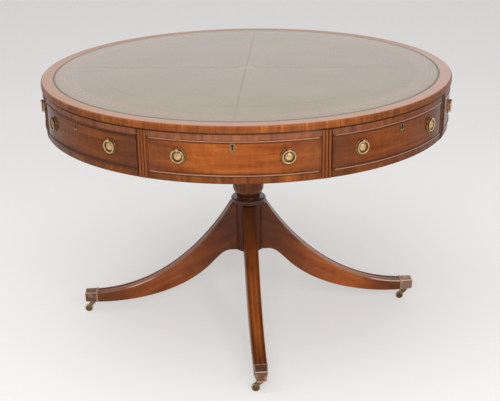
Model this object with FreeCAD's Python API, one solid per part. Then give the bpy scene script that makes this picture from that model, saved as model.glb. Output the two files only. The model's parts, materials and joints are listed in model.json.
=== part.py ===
# Drum table: a round writing table whose drum holds four drawers and four false
# fronts, and turns on a pillar that stands on four sabre legs with brass castors.
# Millimetres. +Z is up, the floor is z = 0, the drum turns about Z, and the front
# drawer faces -Y. Angles run counter-clockwise from above, from the front.
import FreeCAD, Part
import math
import os
from FreeCAD import Vector

# Whole table
TABLE_HEIGHT = 760.0
DRUM_RADIUS = 571.0
TOP_OVERHANG = 4.0
TOP_THICKNESS = 18.0
BASE_TURN = 6.5  # degrees that the pillar and legs stand turned from the drum

# Top: a core board, a crossbanded rim and four quarters of leather
BANDING_WIDTH = 40.0
TOP_EDGE_ROUND = 2.0
LEATHER_THICKNESS = 1.5
LEATHER_SEAM = 0.4
TONGUE_LENGTH = 8.0
TONGUE_THICKNESS = 6.0
GLUE_GAP = 0.1

# Drum walls, from the top down
QUIRK_HEIGHT = 4.0
QUIRK_DEPTH = 5.0
UPPER_RAIL_HEIGHT = 14.0
OPENING_HEIGHT = 88.0
LOWER_RAIL_HEIGHT = 18.0
LOWER_RAIL_ROUND = 2.0
RAIL_DEPTH = 25.0
LEDGE_WIDTH = 16.0
LEDGE_THICKNESS = 4.0
FLOOR_THICKNESS = 12.0

# Reeded stiles between the eight fronts
SEGMENTS = 8
STILE_WIDTH = 28.0
STILE_LAP = 16.0
STILE_MARGIN = 1.5
REED_COUNT = 3
REED_DEPTH = 2.5

# Inner frame that guides the drawers
PARTITION_THICKNESS = 12.0
PARTITION_SETBACK = 1.0
RUNNER_WIDTH = 20.0
RUNNER_PLAY = 0.3
KICKER_PLAY = 1.5

# Drawers and false fronts
FRONT_THICKNESS = 22.0
FRONT_GAP = 1.0
BEAD_WIDTH = 3.0
BEAD_DEPTH = 8.0
BEAD_PROUD = 2.0
BEAD_ROUND = 1.2
DRAWER_PLAY = 1.0
DRAWER_BACK_PLAY = 0.5
SIDE_THICKNESS = 10.0
SIDE_RISE = 2.0
SIDE_DROP = 6.0
BACK_THICKNESS = 9.0
BACK_DROP = 6.0
BACK_HOUSING = 3.0
BOTTOM_THICKNESS = 6.0
BOTTOM_RISE = 6.0
BOTTOM_GROOVE = 4.0
TAIL_COUNT = 3
TAIL_LENGTH = 12.0
TAIL_NECK = 13.0
TAIL_FLARE = 2.0

# Ring pulls
PULL_SPACING = 258.0
PULL_DROP = 41.0
ROSE_RADIUS = 19.0
ROSE_THICKNESS = 1.6
ROSE_RIM_WIDTH = 1.4
ROSE_RIM_HEIGHT = 0.6
DOME_RADIUS = 10.5
DOME_STEP = 1.4
DOME_HEIGHT = 5.0
RING_RADIUS = 15.0
RING_WIRE_RADIUS = 1.9
EYE_RADIUS = 4.4
EYE_GAP = 0.2
EYE_NECK_RADIUS = 2.6
EYE_PLAY = 0.7
EYE_DROP = 0.2
SHANK_RADIUS = 2.0
SHANK_PLAY = 0.2
PULL_NUT_RADIUS = 5.0
PULL_NUT_THICKNESS = 3.0

# Locks and keyhole plates
PLATE_WIDTH = 12.5
PLATE_HEIGHT = 22.0
PLATE_INLAY = 1.0
PLATE_PROUD = 0.4
PLATE_DROP = 6.0
KEYHOLE_DROP = 5.6
KEYHOLE_RADIUS = 3.0
KEYHOLE_SLOT = 3.2
KEYHOLE_LENGTH = 11.0
KEYHOLE_DEPTH = 8.0
LOCK_WIDTH = 56.0
LOCK_HEIGHT = 36.0
LOCK_DEPTH = 10.0
LOCK_RECESS = 1.5

# Pivot between the drum and the pillar
SPINDLE_RADIUS = 12.0
SPINDLE_SOCKET = 130.0
PIVOT_PLAY = 0.05
BEARING_RADIUS = 75.0
BEARING_THICKNESS = 4.0
BEARING_GAP = 0.3
HUB_WIDTH = 150.0
HUB_HEIGHT = 46.0
HUB_BORE_PLAY = 1.0
WASHER_RADIUS = 24.0
WASHER_THICKNESS = 3.0
NUT_FLATS = 36.0
NUT_HEIGHT = 16.0

# Turned pillar, from its foot up
BLOCK_RADIUS = 43.0
BLOCK_BOTTOM = 201.0
BLOCK_HEIGHT = 149.0
COLLAR_FOOT_RADIUS = 48.0
COLLAR_FOOT_HEIGHT = 8.0
COLLAR_RADIUS = 52.5
COLLAR_THICKNESS = 10.0
NECK_RADIUS = 35.0
NECK_HEIGHT = 5.0
VASE_RADIUS = 46.0
VASE_RISE = 28.0
VASE_SPREAD = (2.0, 5.0)  # out and up, where the vase leaves its neck
UPPER_NECK_RADIUS = 34.0
CAPITAL_HEIGHT = 68.0
CAPITAL_RADIUS = 85.0
CAPITAL_RIM = 15.0
CAPITAL_BEAD = 12.0

# Sabre legs
LEG_NAMES = ("front", "right", "back", "left")
LEG_ROOT_WIDTH = 41.0
LEG_TOE_WIDTH = 36.0
LEG_REACH = 472.0
LEG_TOP_REACH = 54.0
LEG_TOP_STEEP = (19.0, 32.0)  # out and down, where the upper edge leaves the pillar
LEG_TOP_FLAT = (256.0, 9.0)  # back and up, where it levels out to the toe
LEG_HEEL_REACH = 56.0
LEG_HEEL_EASE = 22.0
LEG_KNEE_REACH = 110.0
LEG_KNEE_HEIGHT = 166.0
LEG_KNEE_EASE = (18.0, 18.0)  # back and up, where the heel turns into the knee
LEG_UNDER_STEEP = (103.0, 115.0)  # out and down, where the lower edge leaves the knee
LEG_UNDER_FLAT = (76.0, -4.0)  # back and up, where it levels out to the toe
LEG_TOE_BOTTOM = 40.5
LEG_TOE_HEIGHT = 29.5
LEG_EDGE_ROUND = 2.5
LEG_QUIRK_INSET = 5.0
LEG_QUIRK_DEPTH = 2.4
LEG_SLOPE_WIDTH = 9.0
TENON_DEPTH = 16.0
TENON_NECK = 14.0
TENON_ROOT = 20.0
TENON_HEIGHT = 132.0
TENON_RISE = 3.0
BRACE_THICKNESS = 3.0
BRACE_RADIUS = 30.0
BRACE_ARM_WIDTH = 18.0
BRACE_ARM_REACH = 55.0

# Toe caps
CAP_LENGTH = 38.0
CAP_REAR_WIDTH = 36.0
CAP_FRONT_WIDTH = 33.0
CAP_FRONT_FOOT_WIDTH = 26.0
CAP_BOTTOM = 40.0
CAP_HEIGHT = 31.0
CAP_WALL = 2.0
CAP_LIP_LENGTH = 4.0
CAP_LIP_PROUD = 1.0
CAP_ROUND = 1.2

# Castors
CASTOR_HEADING = -86.5  # degrees: the way all four wheels trail at rest
CASTOR_TRAIL = 14.5
CASTOR_PIN_SETBACK = 21.0
WHEEL_RADIUS = 11.8
WHEEL_WIDTH = 9.5
WHEEL_ROUND = 2.5
WHEEL_HUB_RADIUS = 4.5
WHEEL_DISH = 1.2
AXLE_RADIUS = 2.0
AXLE_BOSS = 5.0
CHEEK_THICKNESS = 2.2
CHEEK_GAP = 0.5
FORK_PLATE_RADIUS = 11.0
FORK_PLATE_THICKNESS = 3.0
FORK_NECK = 8.0
FORK_GAP = 0.3
TREAD_GAP = 1.0
KINGPIN_RADIUS = 4.0
KINGPIN_LENGTH = 22.0
KINGPIN_HOLE_PLAY = 1.0

# Cutters run past the faces that they open by this much
OVERCUT = 1.0

# Levels and places that follow from the sizes above
TOP_UNDERSIDE = TABLE_HEIGHT - TOP_THICKNESS
CORE_TOP = TABLE_HEIGHT - LEATHER_THICKNESS
TOP_RADIUS = DRUM_RADIUS + TOP_OVERHANG
CORE_RADIUS = TOP_RADIUS - BANDING_WIDTH
STILE_TOP = TOP_UNDERSIDE - QUIRK_HEIGHT
OPENING_TOP = STILE_TOP - UPPER_RAIL_HEIGHT
OPENING_BOTTOM = OPENING_TOP - OPENING_HEIGHT
DRUM_BOTTOM = OPENING_BOTTOM - LOWER_RAIL_HEIGHT
FLOOR_BOTTOM = DRUM_BOTTOM + LEDGE_THICKNESS
FLOOR_TOP = FLOOR_BOTTOM + FLOOR_THICKNESS
RAIL_INNER = DRUM_RADIUS - RAIL_DEPTH
SEGMENT_ANGLE = 360.0 / SEGMENTS
HALF_SEGMENT = math.radians(SEGMENT_ANGLE / 2)
STILE_CORNER = RAIL_INNER * math.sin(HALF_SEGMENT) - STILE_WIDTH / 2 * math.cos(HALF_SEGMENT)
PARTITION_FACE = STILE_CORNER - PARTITION_SETBACK
PARTITION_BACK = PARTITION_FACE + PARTITION_THICKNESS
DRAWER_HALF = PARTITION_FACE - DRAWER_PLAY
DRAWER_END = PARTITION_BACK + DRAWER_BACK_PLAY
FRONT_INNER = DRUM_RADIUS - FRONT_THICKNESS
SIDE_BOTTOM = OPENING_BOTTOM + SIDE_RISE
SIDE_TOP = OPENING_TOP - SIDE_DROP
PANEL_BOTTOM = SIDE_BOTTOM + BOTTOM_RISE
PANEL_TOP = PANEL_BOTTOM + BOTTOM_THICKNESS
PULL_ANGLE = math.degrees(math.asin(PULL_SPACING / 2 / DRUM_RADIUS))
PULL_HEIGHT = OPENING_TOP - PULL_DROP
RING_STANDOFF = ROSE_THICKNESS + EYE_GAP + EYE_RADIUS
PLATE_TOP = OPENING_TOP - PLATE_DROP
KEYHOLE_HEIGHT = PLATE_TOP - KEYHOLE_DROP
PILLAR_TOP = FLOOR_BOTTOM - 2 * BEARING_THICKNESS - BEARING_GAP
HUB_TOP = FLOOR_TOP + HUB_HEIGHT
WASHER_BOTTOM = HUB_TOP + BEARING_GAP
NUT_BOTTOM = WASHER_BOTTOM + WASHER_THICKNESS
NUT_TOP = NUT_BOTTOM + NUT_HEIGHT
BLOCK_TOP = BLOCK_BOTTOM + BLOCK_HEIGHT
CAP_END = LEG_REACH + CAP_LENGTH
CASTOR_PIN_REACH = CAP_END - CASTOR_PIN_SETBACK
AXLE_HEIGHT = WHEEL_RADIUS
FORK_TOP = CAP_BOTTOM - FORK_GAP
SLOT_WIDTH = WHEEL_WIDTH + 2 * CHEEK_GAP
FORK_WIDTH = SLOT_WIDTH + 2 * CHEEK_THICKNESS
DRAWER_SPINS = {"front": 0.0, "right": 90.0, "back": 180.0, "left": 270.0}
FALSE_SPINS = (45.0, 135.0, 225.0, 315.0)

ORIGIN = Vector(0, 0, 0)
UP = Vector(0, 0, 1)
ACROSS = Vector(1, 0, 0)
INWARD = Vector(0, 1, 0)


def spin(shape, angle):
    """A copy turned about the table's axis."""
    turned = shape.copy()
    turned.rotate(ORIGIN, UP, angle)
    return turned


def moved(shape, x, y, z):
    """A copy moved by x, y and z."""
    shifted = shape.copy()
    shifted.translate(Vector(x, y, z))
    return shifted


def mirrored(shape):
    """A copy mirrored left to right, across the YZ plane."""
    return shape.mirror(ORIGIN, ACROSS)


def box(x_range, y_range, z_range):
    """A block between the low and high limits on each axis."""
    low = Vector(x_range[0], y_range[0], z_range[0])
    return Part.makeBox(x_range[1] - low.x, y_range[1] - low.y, z_range[1] - low.z, low)


def disc(radius, low, high):
    """A round of the given radius on the table's axis."""
    return Part.makeCylinder(radius, high - low, Vector(0, 0, low))


def side_view(reach, height):
    """A point in the plane of the table's axis and its front."""
    return Vector(0, -reach, height)


def plan_view(x, y):
    """A point on the floor."""
    return Vector(x, y, 0)


def pull_view(radius, standoff):
    """A point of a profile turned about a pull's own axis, which points out of the front."""
    return Vector(radius, -standoff, 0)


def outline(view, start, *steps):
    """A face inside steps of one point for a line, two for an arc and three for a curve."""
    here = view(*start)
    edges = []
    for step in steps:
        points = [here] + [view(*point) for point in step]
        if len(points) == 2:
            path = Part.LineSegment(*points)
        elif len(points) == 3:
            path = Part.Arc(*points)
        else:
            path = Part.BezierCurve()
            path.setPoles(points)
        edges.append(path.toShape())
        here = points[-1]
    edges.append(Part.LineSegment(here, view(*start)).toShape())
    return Part.Face(Part.Wire(edges))


def turned(face):
    """A solid turned from a profile about the table's axis."""
    return face.revolve(ORIGIN, UP, 360)


def raised(face, low, high):
    """A plan outline raised from one level to another."""
    return moved(face.extrude(UP * (high - low)), 0, 0, low)


def save(name, *solids):
    """Write the solids of one sub-part to its own file."""
    shape = solids[0] if len(solids) == 1 else Part.makeCompound(list(solids))
    shape.exportStep("parts/" + name + ".step")


def top_board():
    """Core of the top, with a tongue round its edge for the banding."""
    middle = (TOP_UNDERSIDE + CORE_TOP) / 2
    low = middle - TONGUE_THICKNESS / 2
    high = middle + TONGUE_THICKNESS / 2
    rim = CORE_RADIUS - GLUE_GAP
    profile = outline(
        side_view, (0, TOP_UNDERSIDE), [(rim, TOP_UNDERSIDE)], [(rim, low)],
        [(rim + TONGUE_LENGTH, low)], [(rim + TONGUE_LENGTH, high)], [(rim, high)],
        [(rim, CORE_TOP)], [(0, CORE_TOP)])
    return turned(profile)


def top_banding():
    """Crossbanded rim, grooved inside for the core's tongue."""
    middle = (TOP_UNDERSIDE + CORE_TOP) / 2
    low = middle - TONGUE_THICKNESS / 2
    high = middle + TONGUE_THICKNESS / 2
    groove = CORE_RADIUS + TONGUE_LENGTH
    edge = TOP_RADIUS - TOP_EDGE_ROUND
    slope = TOP_EDGE_ROUND * math.sqrt(0.5)
    low_round = TOP_UNDERSIDE + TOP_EDGE_ROUND
    high_round = TABLE_HEIGHT - TOP_EDGE_ROUND
    profile = outline(
        side_view, (CORE_RADIUS, TOP_UNDERSIDE), [(edge, TOP_UNDERSIDE)],
        [(edge + slope, low_round - slope), (TOP_RADIUS, low_round)], [(TOP_RADIUS, high_round)],
        [(edge + slope, high_round + slope), (edge, TABLE_HEIGHT)], [(CORE_RADIUS, TABLE_HEIGHT)],
        [(CORE_RADIUS, high)], [(groove, high)], [(groove, low)], [(CORE_RADIUS, low)])
    return turned(profile)


def leather_quarters():
    """Four quarter skins laid on the core, with their seams over the drawers."""
    reach = CORE_RADIUS - GLUE_GAP
    corner = box((LEATHER_SEAM / 2, reach), (LEATHER_SEAM / 2, reach), (CORE_TOP, TABLE_HEIGHT))
    quarter = disc(reach, CORE_TOP, TABLE_HEIGHT).common(corner)
    return [spin(quarter, angle) for angle in DRAWER_SPINS.values()]


def stile_section(back):
    """Plan of a stile at the front, with rounded reeds on its face."""
    half = STILE_WIDTH / 2
    hollow = -(DRUM_RADIUS - REED_DEPTH)
    reed = (STILE_WIDTH - 2 * STILE_MARGIN) / REED_COUNT
    steps = [[(-half, hollow)], [(STILE_MARGIN - half, hollow)]]
    for index in range(REED_COUNT):
        left = STILE_MARGIN - half + index * reed
        steps.append([(left + reed / 2, -DRUM_RADIUS), (left + reed, hollow)])
    steps += [[(half, hollow)], [(half, -back)]]
    return outline(plan_view, (-half, -back), *steps)


def stile_angles():
    """Angles of the stiles, each midway between two fronts."""
    return [(index + 0.5) * SEGMENT_ANGLE for index in range(SEGMENTS)]


def stiles():
    """Reeded stiles, thinned at both ends where the rails lap behind them."""
    lap = DRUM_RADIUS - STILE_LAP
    long_piece = raised(stile_section(lap), DRUM_BOTTOM, STILE_TOP)
    deep_piece = raised(stile_section(RAIL_INNER), OPENING_BOTTOM, OPENING_TOP)
    stile = long_piece.fuse(deep_piece).removeSplitter()
    return [spin(stile, angle) for angle in stile_angles()]


def housed(rail, low, high):
    """A rail with a housing cut for each stile."""
    half = STILE_WIDTH / 2
    cutter = box((-half, half), (-DRUM_RADIUS - OVERCUT, STILE_LAP - DRUM_RADIUS), (low, high))
    return rail.cut([spin(cutter, angle) for angle in stile_angles()])


def upper_rail():
    """Ring under the top, stepped back at its upper edge to leave a shadow line."""
    neck = DRUM_RADIUS - QUIRK_DEPTH
    profile = outline(
        side_view, (RAIL_INNER, OPENING_TOP), [(DRUM_RADIUS, OPENING_TOP)], [(DRUM_RADIUS, STILE_TOP)],
        [(neck, STILE_TOP)], [(neck, TOP_UNDERSIDE)], [(RAIL_INNER, TOP_UNDERSIDE)])
    return housed(turned(profile), OPENING_TOP, STILE_TOP)


def lower_rail():
    """Ring under the fronts, with a ledge inside that carries the floor."""
    edge = DRUM_RADIUS - LOWER_RAIL_ROUND
    slope = LOWER_RAIL_ROUND * math.sqrt(0.5)
    round_top = DRUM_BOTTOM + LOWER_RAIL_ROUND
    ledge = RAIL_INNER - LEDGE_WIDTH
    profile = outline(
        side_view, (ledge, DRUM_BOTTOM), [(edge, DRUM_BOTTOM)],
        [(edge + slope, round_top - slope), (DRUM_RADIUS, round_top)], [(DRUM_RADIUS, OPENING_BOTTOM)],
        [(RAIL_INNER, OPENING_BOTTOM)], [(RAIL_INNER, FLOOR_BOTTOM)], [(ledge, FLOOR_BOTTOM)])
    return housed(turned(profile), DRUM_BOTTOM, OPENING_BOTTOM)


def drum_floor():
    """Round floor of the drum, bored for the spindle."""
    bore = disc(SPINDLE_RADIUS + HUB_BORE_PLAY, FLOOR_BOTTOM, FLOOR_TOP)
    return disc(RAIL_INNER - GLUE_GAP, FLOOR_BOTTOM, FLOOR_TOP).cut(bore)


def partition_boards():
    """Two pairs of boards halved together where they cross, between floor and top."""
    reach = RAIL_INNER - RUNNER_PLAY
    middle = (FLOOR_TOP + TOP_UNDERSIDE) / 2
    width = (PARTITION_FACE, PARTITION_BACK)
    round_trim = disc(reach, FLOOR_TOP, TOP_UNDERSIDE)
    board = box(width, (-reach, reach), (FLOOR_TOP, TOP_UNDERSIDE)).common(round_trim)
    crossing = box(width, width, (FLOOR_TOP, TOP_UNDERSIDE))
    crossings = [spin(crossing, angle) for angle in DRAWER_SPINS.values()]
    upper_half = box((-reach, reach), (-reach, reach), (middle, TOP_UNDERSIDE))
    lower_half = box((-reach, reach), (-reach, reach), (FLOOR_TOP, middle))
    fore_and_aft = board.cut([part.common(upper_half) for part in crossings])
    side_to_side = spin(board, 90).cut([part.common(lower_half) for part in crossings])
    return [fore_and_aft, spin(fore_and_aft, 180), side_to_side, spin(side_to_side, 180)]


def guide_strips(low, high):
    """Strips along both sides of every drawer, fixed to the partitions."""
    reach = RAIL_INNER - RUNNER_PLAY
    strip = box((PARTITION_FACE - RUNNER_WIDTH, PARTITION_FACE), (-reach, -PARTITION_BACK), (low, high))
    strip = strip.common(disc(reach, low, high))
    pair = [strip, mirrored(strip)]
    return [spin(piece, angle) for angle in DRAWER_SPINS.values() for piece in pair]


def hub_block():
    """Block on the floor that steadies the drum on its spindle."""
    half = HUB_WIDTH / 2
    bore = disc(SPINDLE_RADIUS + HUB_BORE_PLAY, FLOOR_TOP, HUB_TOP)
    return box((-half, half), (-half, half), (FLOOR_TOP, HUB_TOP)).cut(bore)


def bearing_plate(low, bore):
    """Iron plate of the turntable."""
    high = low + BEARING_THICKNESS
    return disc(BEARING_RADIUS, low, high).cut(disc(bore, low, high))


def front_blank(inner, outer, margin):
    """Curved block that fills one opening of the drum, less a margin all round."""
    low = OPENING_BOTTOM + margin
    high = OPENING_TOP - margin
    foot = Vector(0, 0, low)
    outside = Part.makeCylinder(outer, high - low, foot, UP, SEGMENT_ANGLE)
    inside = Part.makeCylinder(inner, high - low, foot, UP, SEGMENT_ANGLE)
    blank = spin(outside.cut(inside), -90 - SEGMENT_ANGLE / 2)
    half = STILE_WIDTH / 2 + margin
    stile = box((-half, half), (-outer - OVERCUT, OVERCUT - inner), (low, high))
    return blank.cut([spin(stile, SEGMENT_ANGLE / 2), spin(stile, -SEGMENT_ANGLE / 2)])


def bead_blank(gap):
    """Square-edged cockbead frame round one front."""
    inner = DRUM_RADIUS - BEAD_DEPTH
    outer = DRUM_RADIUS + BEAD_PROUD
    field = front_blank(inner - OVERCUT, outer + OVERCUT, gap + BEAD_WIDTH)
    return front_blank(inner, outer, gap).cut(field)


def cockbead(gap):
    """Cockbead with its nose rounded."""
    blank = bead_blank(gap)
    nose = DRUM_RADIUS + BEAD_PROUD
    on_nose = []
    for edge in blank.Edges:
        if all(abs(math.hypot(end.X, end.Y) - nose) < 0.01 for end in edge.Vertexes):
            on_nose.append(edge)
    return blank.makeFillet(BEAD_ROUND, on_nose)


def keyhole(depth):
    """Cutter for a keyhole, from in front of the plate to a depth behind the face."""
    mouth = -DRUM_RADIUS - PLATE_PROUD - OVERCUT
    length = depth - DRUM_RADIUS - mouth
    eye = Part.makeCylinder(KEYHOLE_RADIUS, length, Vector(0, mouth, KEYHOLE_HEIGHT), INWARD)
    half = KEYHOLE_SLOT / 2
    slot = box((-half, half), (mouth, mouth + length), (KEYHOLE_HEIGHT - KEYHOLE_LENGTH, KEYHOLE_HEIGHT))
    return eye.fuse(slot)


def plate_blank():
    """Keyhole plate before its keyhole is cut, inlaid in the face of a front."""
    half = PLATE_WIDTH / 2
    depth = (-DRUM_RADIUS - PLATE_PROUD, PLATE_INLAY - DRUM_RADIUS)
    return box((-half, half), depth, (PLATE_TOP - PLATE_HEIGHT, PLATE_TOP))


def keyhole_plate():
    """Brass keyhole plate."""
    return plate_blank().cut(keyhole(PLATE_INLAY))


def at_pull(shape, side):
    """A pull's piece moved from its own axis to the left (-1) or right (1) of a front."""
    return spin(moved(shape, 0, -DRUM_RADIUS, PULL_HEIGHT), side * PULL_ANGLE)


def rose():
    """Stepped back plate with a rim and a domed middle, holed for its eye bolt."""
    rim_top = ROSE_THICKNESS + ROSE_RIM_HEIGHT
    step_top = ROSE_THICKNESS + DOME_STEP
    dome_top = step_top + DOME_HEIGHT
    step = DOME_RADIUS + DOME_STEP / 2
    rim = ROSE_RADIUS - ROSE_RIM_WIDTH
    dome = [(DOME_RADIUS / 2, dome_top), (DOME_RADIUS, dome_top - DOME_HEIGHT / 2), (DOME_RADIUS, step_top)]
    profile = outline(
        pull_view, (0, dome_top), dome, [(step, step_top)], [(step, ROSE_THICKNESS)],
        [(rim, ROSE_THICKNESS)],
        [(rim + ROSE_RIM_WIDTH / 2, rim_top), (ROSE_RADIUS, ROSE_THICKNESS)], [(ROSE_RADIUS, 0)], [(0, 0)])
    hole = Part.makeCylinder(SHANK_RADIUS, ROSE_THICKNESS, Vector(0, -ROSE_THICKNESS, RING_RADIUS), INWARD)
    return profile.revolve(ORIGIN, INWARD, 360).cut(hole)


def eye_bolt():
    """Ball-headed bolt through the top of the rose, bored across for the ring."""
    reach = FRONT_THICKNESS + PULL_NUT_THICKNESS + GLUE_GAP
    tip = RING_STANDOFF + EYE_RADIUS
    join = RING_STANDOFF - math.sqrt(EYE_RADIUS ** 2 - EYE_NECK_RADIUS ** 2)
    profile = outline(
        pull_view, (0, tip), [(EYE_RADIUS, RING_STANDOFF), (EYE_NECK_RADIUS, join)],
        [(EYE_NECK_RADIUS, ROSE_THICKNESS)], [(SHANK_RADIUS, ROSE_THICKNESS)], [(SHANK_RADIUS, -reach)],
        [(0, -reach)])
    start = Vector(-ROSE_RADIUS, -RING_STANDOFF, -EYE_DROP)
    bore = Part.makeCylinder(RING_WIRE_RADIUS + EYE_PLAY, 2 * ROSE_RADIUS, start, ACROSS)
    return moved(profile.revolve(ORIGIN, INWARD, 360).cut(bore), 0, 0, RING_RADIUS)


def pull_nut():
    """Round nut on the eye bolt, against the back of the front."""
    seat = Vector(0, FRONT_THICKNESS + GLUE_GAP, RING_RADIUS)
    body = Part.makeCylinder(PULL_NUT_RADIUS, PULL_NUT_THICKNESS, seat, INWARD)
    return body.cut(Part.makeCylinder(SHANK_RADIUS, PULL_NUT_THICKNESS, seat, INWARD))


def pull_ring():
    """Ring that hangs in its eye bolt, in front of the rose."""
    return Part.makeTorus(RING_RADIUS, RING_WIRE_RADIUS, Vector(0, -RING_STANDOFF, 0), INWARD)


def pull_hole():
    """Cutter for the eye bolt's hole through a front."""
    length = FRONT_THICKNESS + 2 * OVERCUT
    return Part.makeCylinder(SHANK_RADIUS + SHANK_PLAY, length, Vector(0, -OVERCUT, RING_RADIUS), INWARD)


def front_fittings():
    """Keyhole plate and two roses, each with its eye bolt and nut."""
    pieces = [keyhole_plate()]
    for side in (-1, 1):
        pieces += [at_pull(piece, side) for piece in (rose(), eye_bolt(), pull_nut())]
    return pieces


def front_board(gap):
    """Curved front, rebated for its cockbead and cut for the plate, keyhole and pulls."""
    board = front_blank(FRONT_INNER, DRUM_RADIUS, gap)
    holes = [at_pull(pull_hole(), side) for side in (-1, 1)]
    return board.cut([bead_blank(gap), plate_blank(), keyhole(KEYHOLE_DEPTH)] + holes)


def drawer_lock():
    """Closed lock case let into the back of a drawer front."""
    half = LOCK_WIDTH / 2
    high = OPENING_TOP - FRONT_GAP - LOCK_RECESS
    case_front = -FRONT_INNER - LOCK_DEPTH + LOCK_RECESS
    return box((-half, half), (case_front, case_front + LOCK_DEPTH), (high - LOCK_HEIGHT, high))


def drawer_bottom():
    """Thin bottom panel that slides in grooves from the back."""
    half = DRAWER_HALF - SIDE_THICKNESS + BOTTOM_GROOVE
    reach = FRONT_INNER + BOTTOM_GROOVE
    panel = box((-half, half), (-reach, -DRAWER_END), (PANEL_BOTTOM, PANEL_TOP))
    return panel.common(disc(reach, PANEL_BOTTOM, PANEL_TOP))


def drawer_back():
    """Back that stands on the bottom panel, housed in the sides."""
    half = DRAWER_HALF - SIDE_THICKNESS + BACK_HOUSING
    depth = (-DRAWER_END - SIDE_THICKNESS - BACK_THICKNESS, -DRAWER_END - SIDE_THICKNESS)
    return box((-half, half), depth, (PANEL_TOP, SIDE_TOP - BACK_DROP))


def drawer_side():
    """Right side with lapped dovetails at the front, grooved for the bottom and back."""
    width = (DRAWER_HALF - SIDE_THICKNESS, DRAWER_HALF)
    reach = FRONT_INNER + TAIL_LENGTH
    board = box(width, (-reach, -DRAWER_END), (SIDE_BOTTOM, SIDE_TOP))
    shoulder = board.common(disc(FRONT_INNER, SIDE_BOTTOM, SIDE_TOP))
    spacing = (SIDE_TOP - SIDE_BOTTOM) / TAIL_COUNT
    neck_depth = math.sqrt(FRONT_INNER ** 2 - DRAWER_HALF ** 2)
    tip_depth = math.sqrt(reach ** 2 - width[0] ** 2)
    tails = []
    for index in range(TAIL_COUNT):
        centre = SIDE_BOTTOM + (index + 0.5) * spacing
        neck = TAIL_NECK / 2
        tip = neck + TAIL_FLARE
        tail = outline(
            side_view, (neck_depth, centre - neck), [(tip_depth, centre - tip)],
            [(tip_depth, centre + tip)], [(neck_depth, centre + neck)])
        tails.append(moved(tail.extrude(ACROSS * SIDE_THICKNESS), width[0], 0, 0))
    trimmed = [tail.common(disc(reach, SIDE_BOTTOM, SIDE_TOP)) for tail in tails]
    return shoulder.fuse(trimmed).removeSplitter().cut([drawer_bottom(), drawer_back()])


def save_drawer(name, angle):
    """One drawer: its front and cockbead, its box, and its brass fittings."""
    right = drawer_side()
    left = mirrored(right)
    board = front_board(FRONT_GAP).cut([right, left, drawer_bottom(), drawer_lock()])
    box_pieces = [left, right, drawer_back(), drawer_bottom()]
    save("drawer_front_" + name, spin(board, angle), spin(cockbead(FRONT_GAP), angle))
    save("drawer_box_" + name, *[spin(piece, angle) for piece in box_pieces])
    save("drawer_fittings_" + name, *[spin(piece, angle) for piece in front_fittings() + [drawer_lock()]])
    save_rings("drawer_" + name, angle)


def save_rings(name, angle):
    """The two ring handles of one front."""
    save("pull_ring_" + name + "_left", spin(at_pull(pull_ring(), -1), angle))
    save("pull_ring_" + name + "_right", spin(at_pull(pull_ring(), 1), angle))


def save_false_fronts():
    """The four fixed fronts between the drawers."""
    boards = [spin(front_board(0), angle) for angle in FALSE_SPINS]
    beads = [spin(cockbead(0), angle) for angle in FALSE_SPINS]
    fittings = [spin(piece, angle) for angle in FALSE_SPINS for piece in front_fittings()]
    save("false_fronts", *(boards + beads))
    save("false_front_fittings", *fittings)
    for number, angle in enumerate(FALSE_SPINS, start=1):
        save_rings("false_front_" + str(number), angle)


def pillar_blank():
    """Turned pillar before it is bored and cut for the legs."""
    foot_root = COLLAR_FOOT_RADIUS - COLLAR_FOOT_HEIGHT / 2
    collar_low = BLOCK_TOP + COLLAR_FOOT_HEIGHT
    collar_mid = collar_low + COLLAR_THICKNESS / 2
    collar_high = collar_low + COLLAR_THICKNESS
    collar_root = COLLAR_RADIUS - COLLAR_THICKNESS / 2
    neck = collar_high + NECK_HEIGHT
    belly = neck + VASE_RISE
    capital = PILLAR_TOP - CAPITAL_HEIGHT
    bead_high = capital + CAPITAL_BEAD
    bead_root = UPPER_NECK_RADIUS + CAPITAL_BEAD / 2
    rim = PILLAR_TOP - CAPITAL_RIM
    swell = VASE_RISE / 2
    fall = (capital - belly) / 3
    flare = (rim - bead_high) / 2
    profile = outline(
        side_view, (0, BLOCK_BOTTOM), [(BLOCK_RADIUS, BLOCK_BOTTOM)], [(BLOCK_RADIUS, BLOCK_TOP)],
        [(foot_root, BLOCK_TOP)], [(COLLAR_FOOT_RADIUS, BLOCK_TOP + COLLAR_FOOT_HEIGHT / 2),
        (foot_root, collar_low)], [(collar_root, collar_low)],
        [(COLLAR_RADIUS, collar_mid), (collar_root, collar_high)],
        [(NECK_RADIUS, collar_high)], [(NECK_RADIUS, neck)],
        [(NECK_RADIUS + VASE_SPREAD[0], neck + VASE_SPREAD[1]), (VASE_RADIUS, belly - swell),
        (VASE_RADIUS, belly)],
        [(VASE_RADIUS, belly + fall), (UPPER_NECK_RADIUS, capital - fall), (UPPER_NECK_RADIUS, capital)],
        [(bead_root, capital)], [(bead_root + CAPITAL_BEAD / 2, capital + CAPITAL_BEAD / 2),
        (bead_root, bead_high)], [(UPPER_NECK_RADIUS, bead_high)],
        [(UPPER_NECK_RADIUS, bead_high + flare), (CAPITAL_RADIUS, rim - flare), (CAPITAL_RADIUS, rim)],
        [(CAPITAL_RADIUS, PILLAR_TOP)], [(0, PILLAR_TOP)])
    return turned(profile)


def leg_tenon(bottom):
    """Dovetailed tongue that holds a leg in the pillar, from a level up."""
    neck = TENON_NECK / 2
    root = TENON_ROOT / 2
    depth = BLOCK_RADIUS - TENON_DEPTH
    plan = outline(
        plan_view, (-neck, -BLOCK_RADIUS), [(neck, -BLOCK_RADIUS)], [(root, -depth)], [(-root, -depth)])
    return raised(plan, bottom, BLOCK_BOTTOM + TENON_HEIGHT)


def leg_angles():
    """Angles of the legs, by name."""
    return {name: BASE_TURN + index * 90 for index, name in enumerate(LEG_NAMES)}


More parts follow.
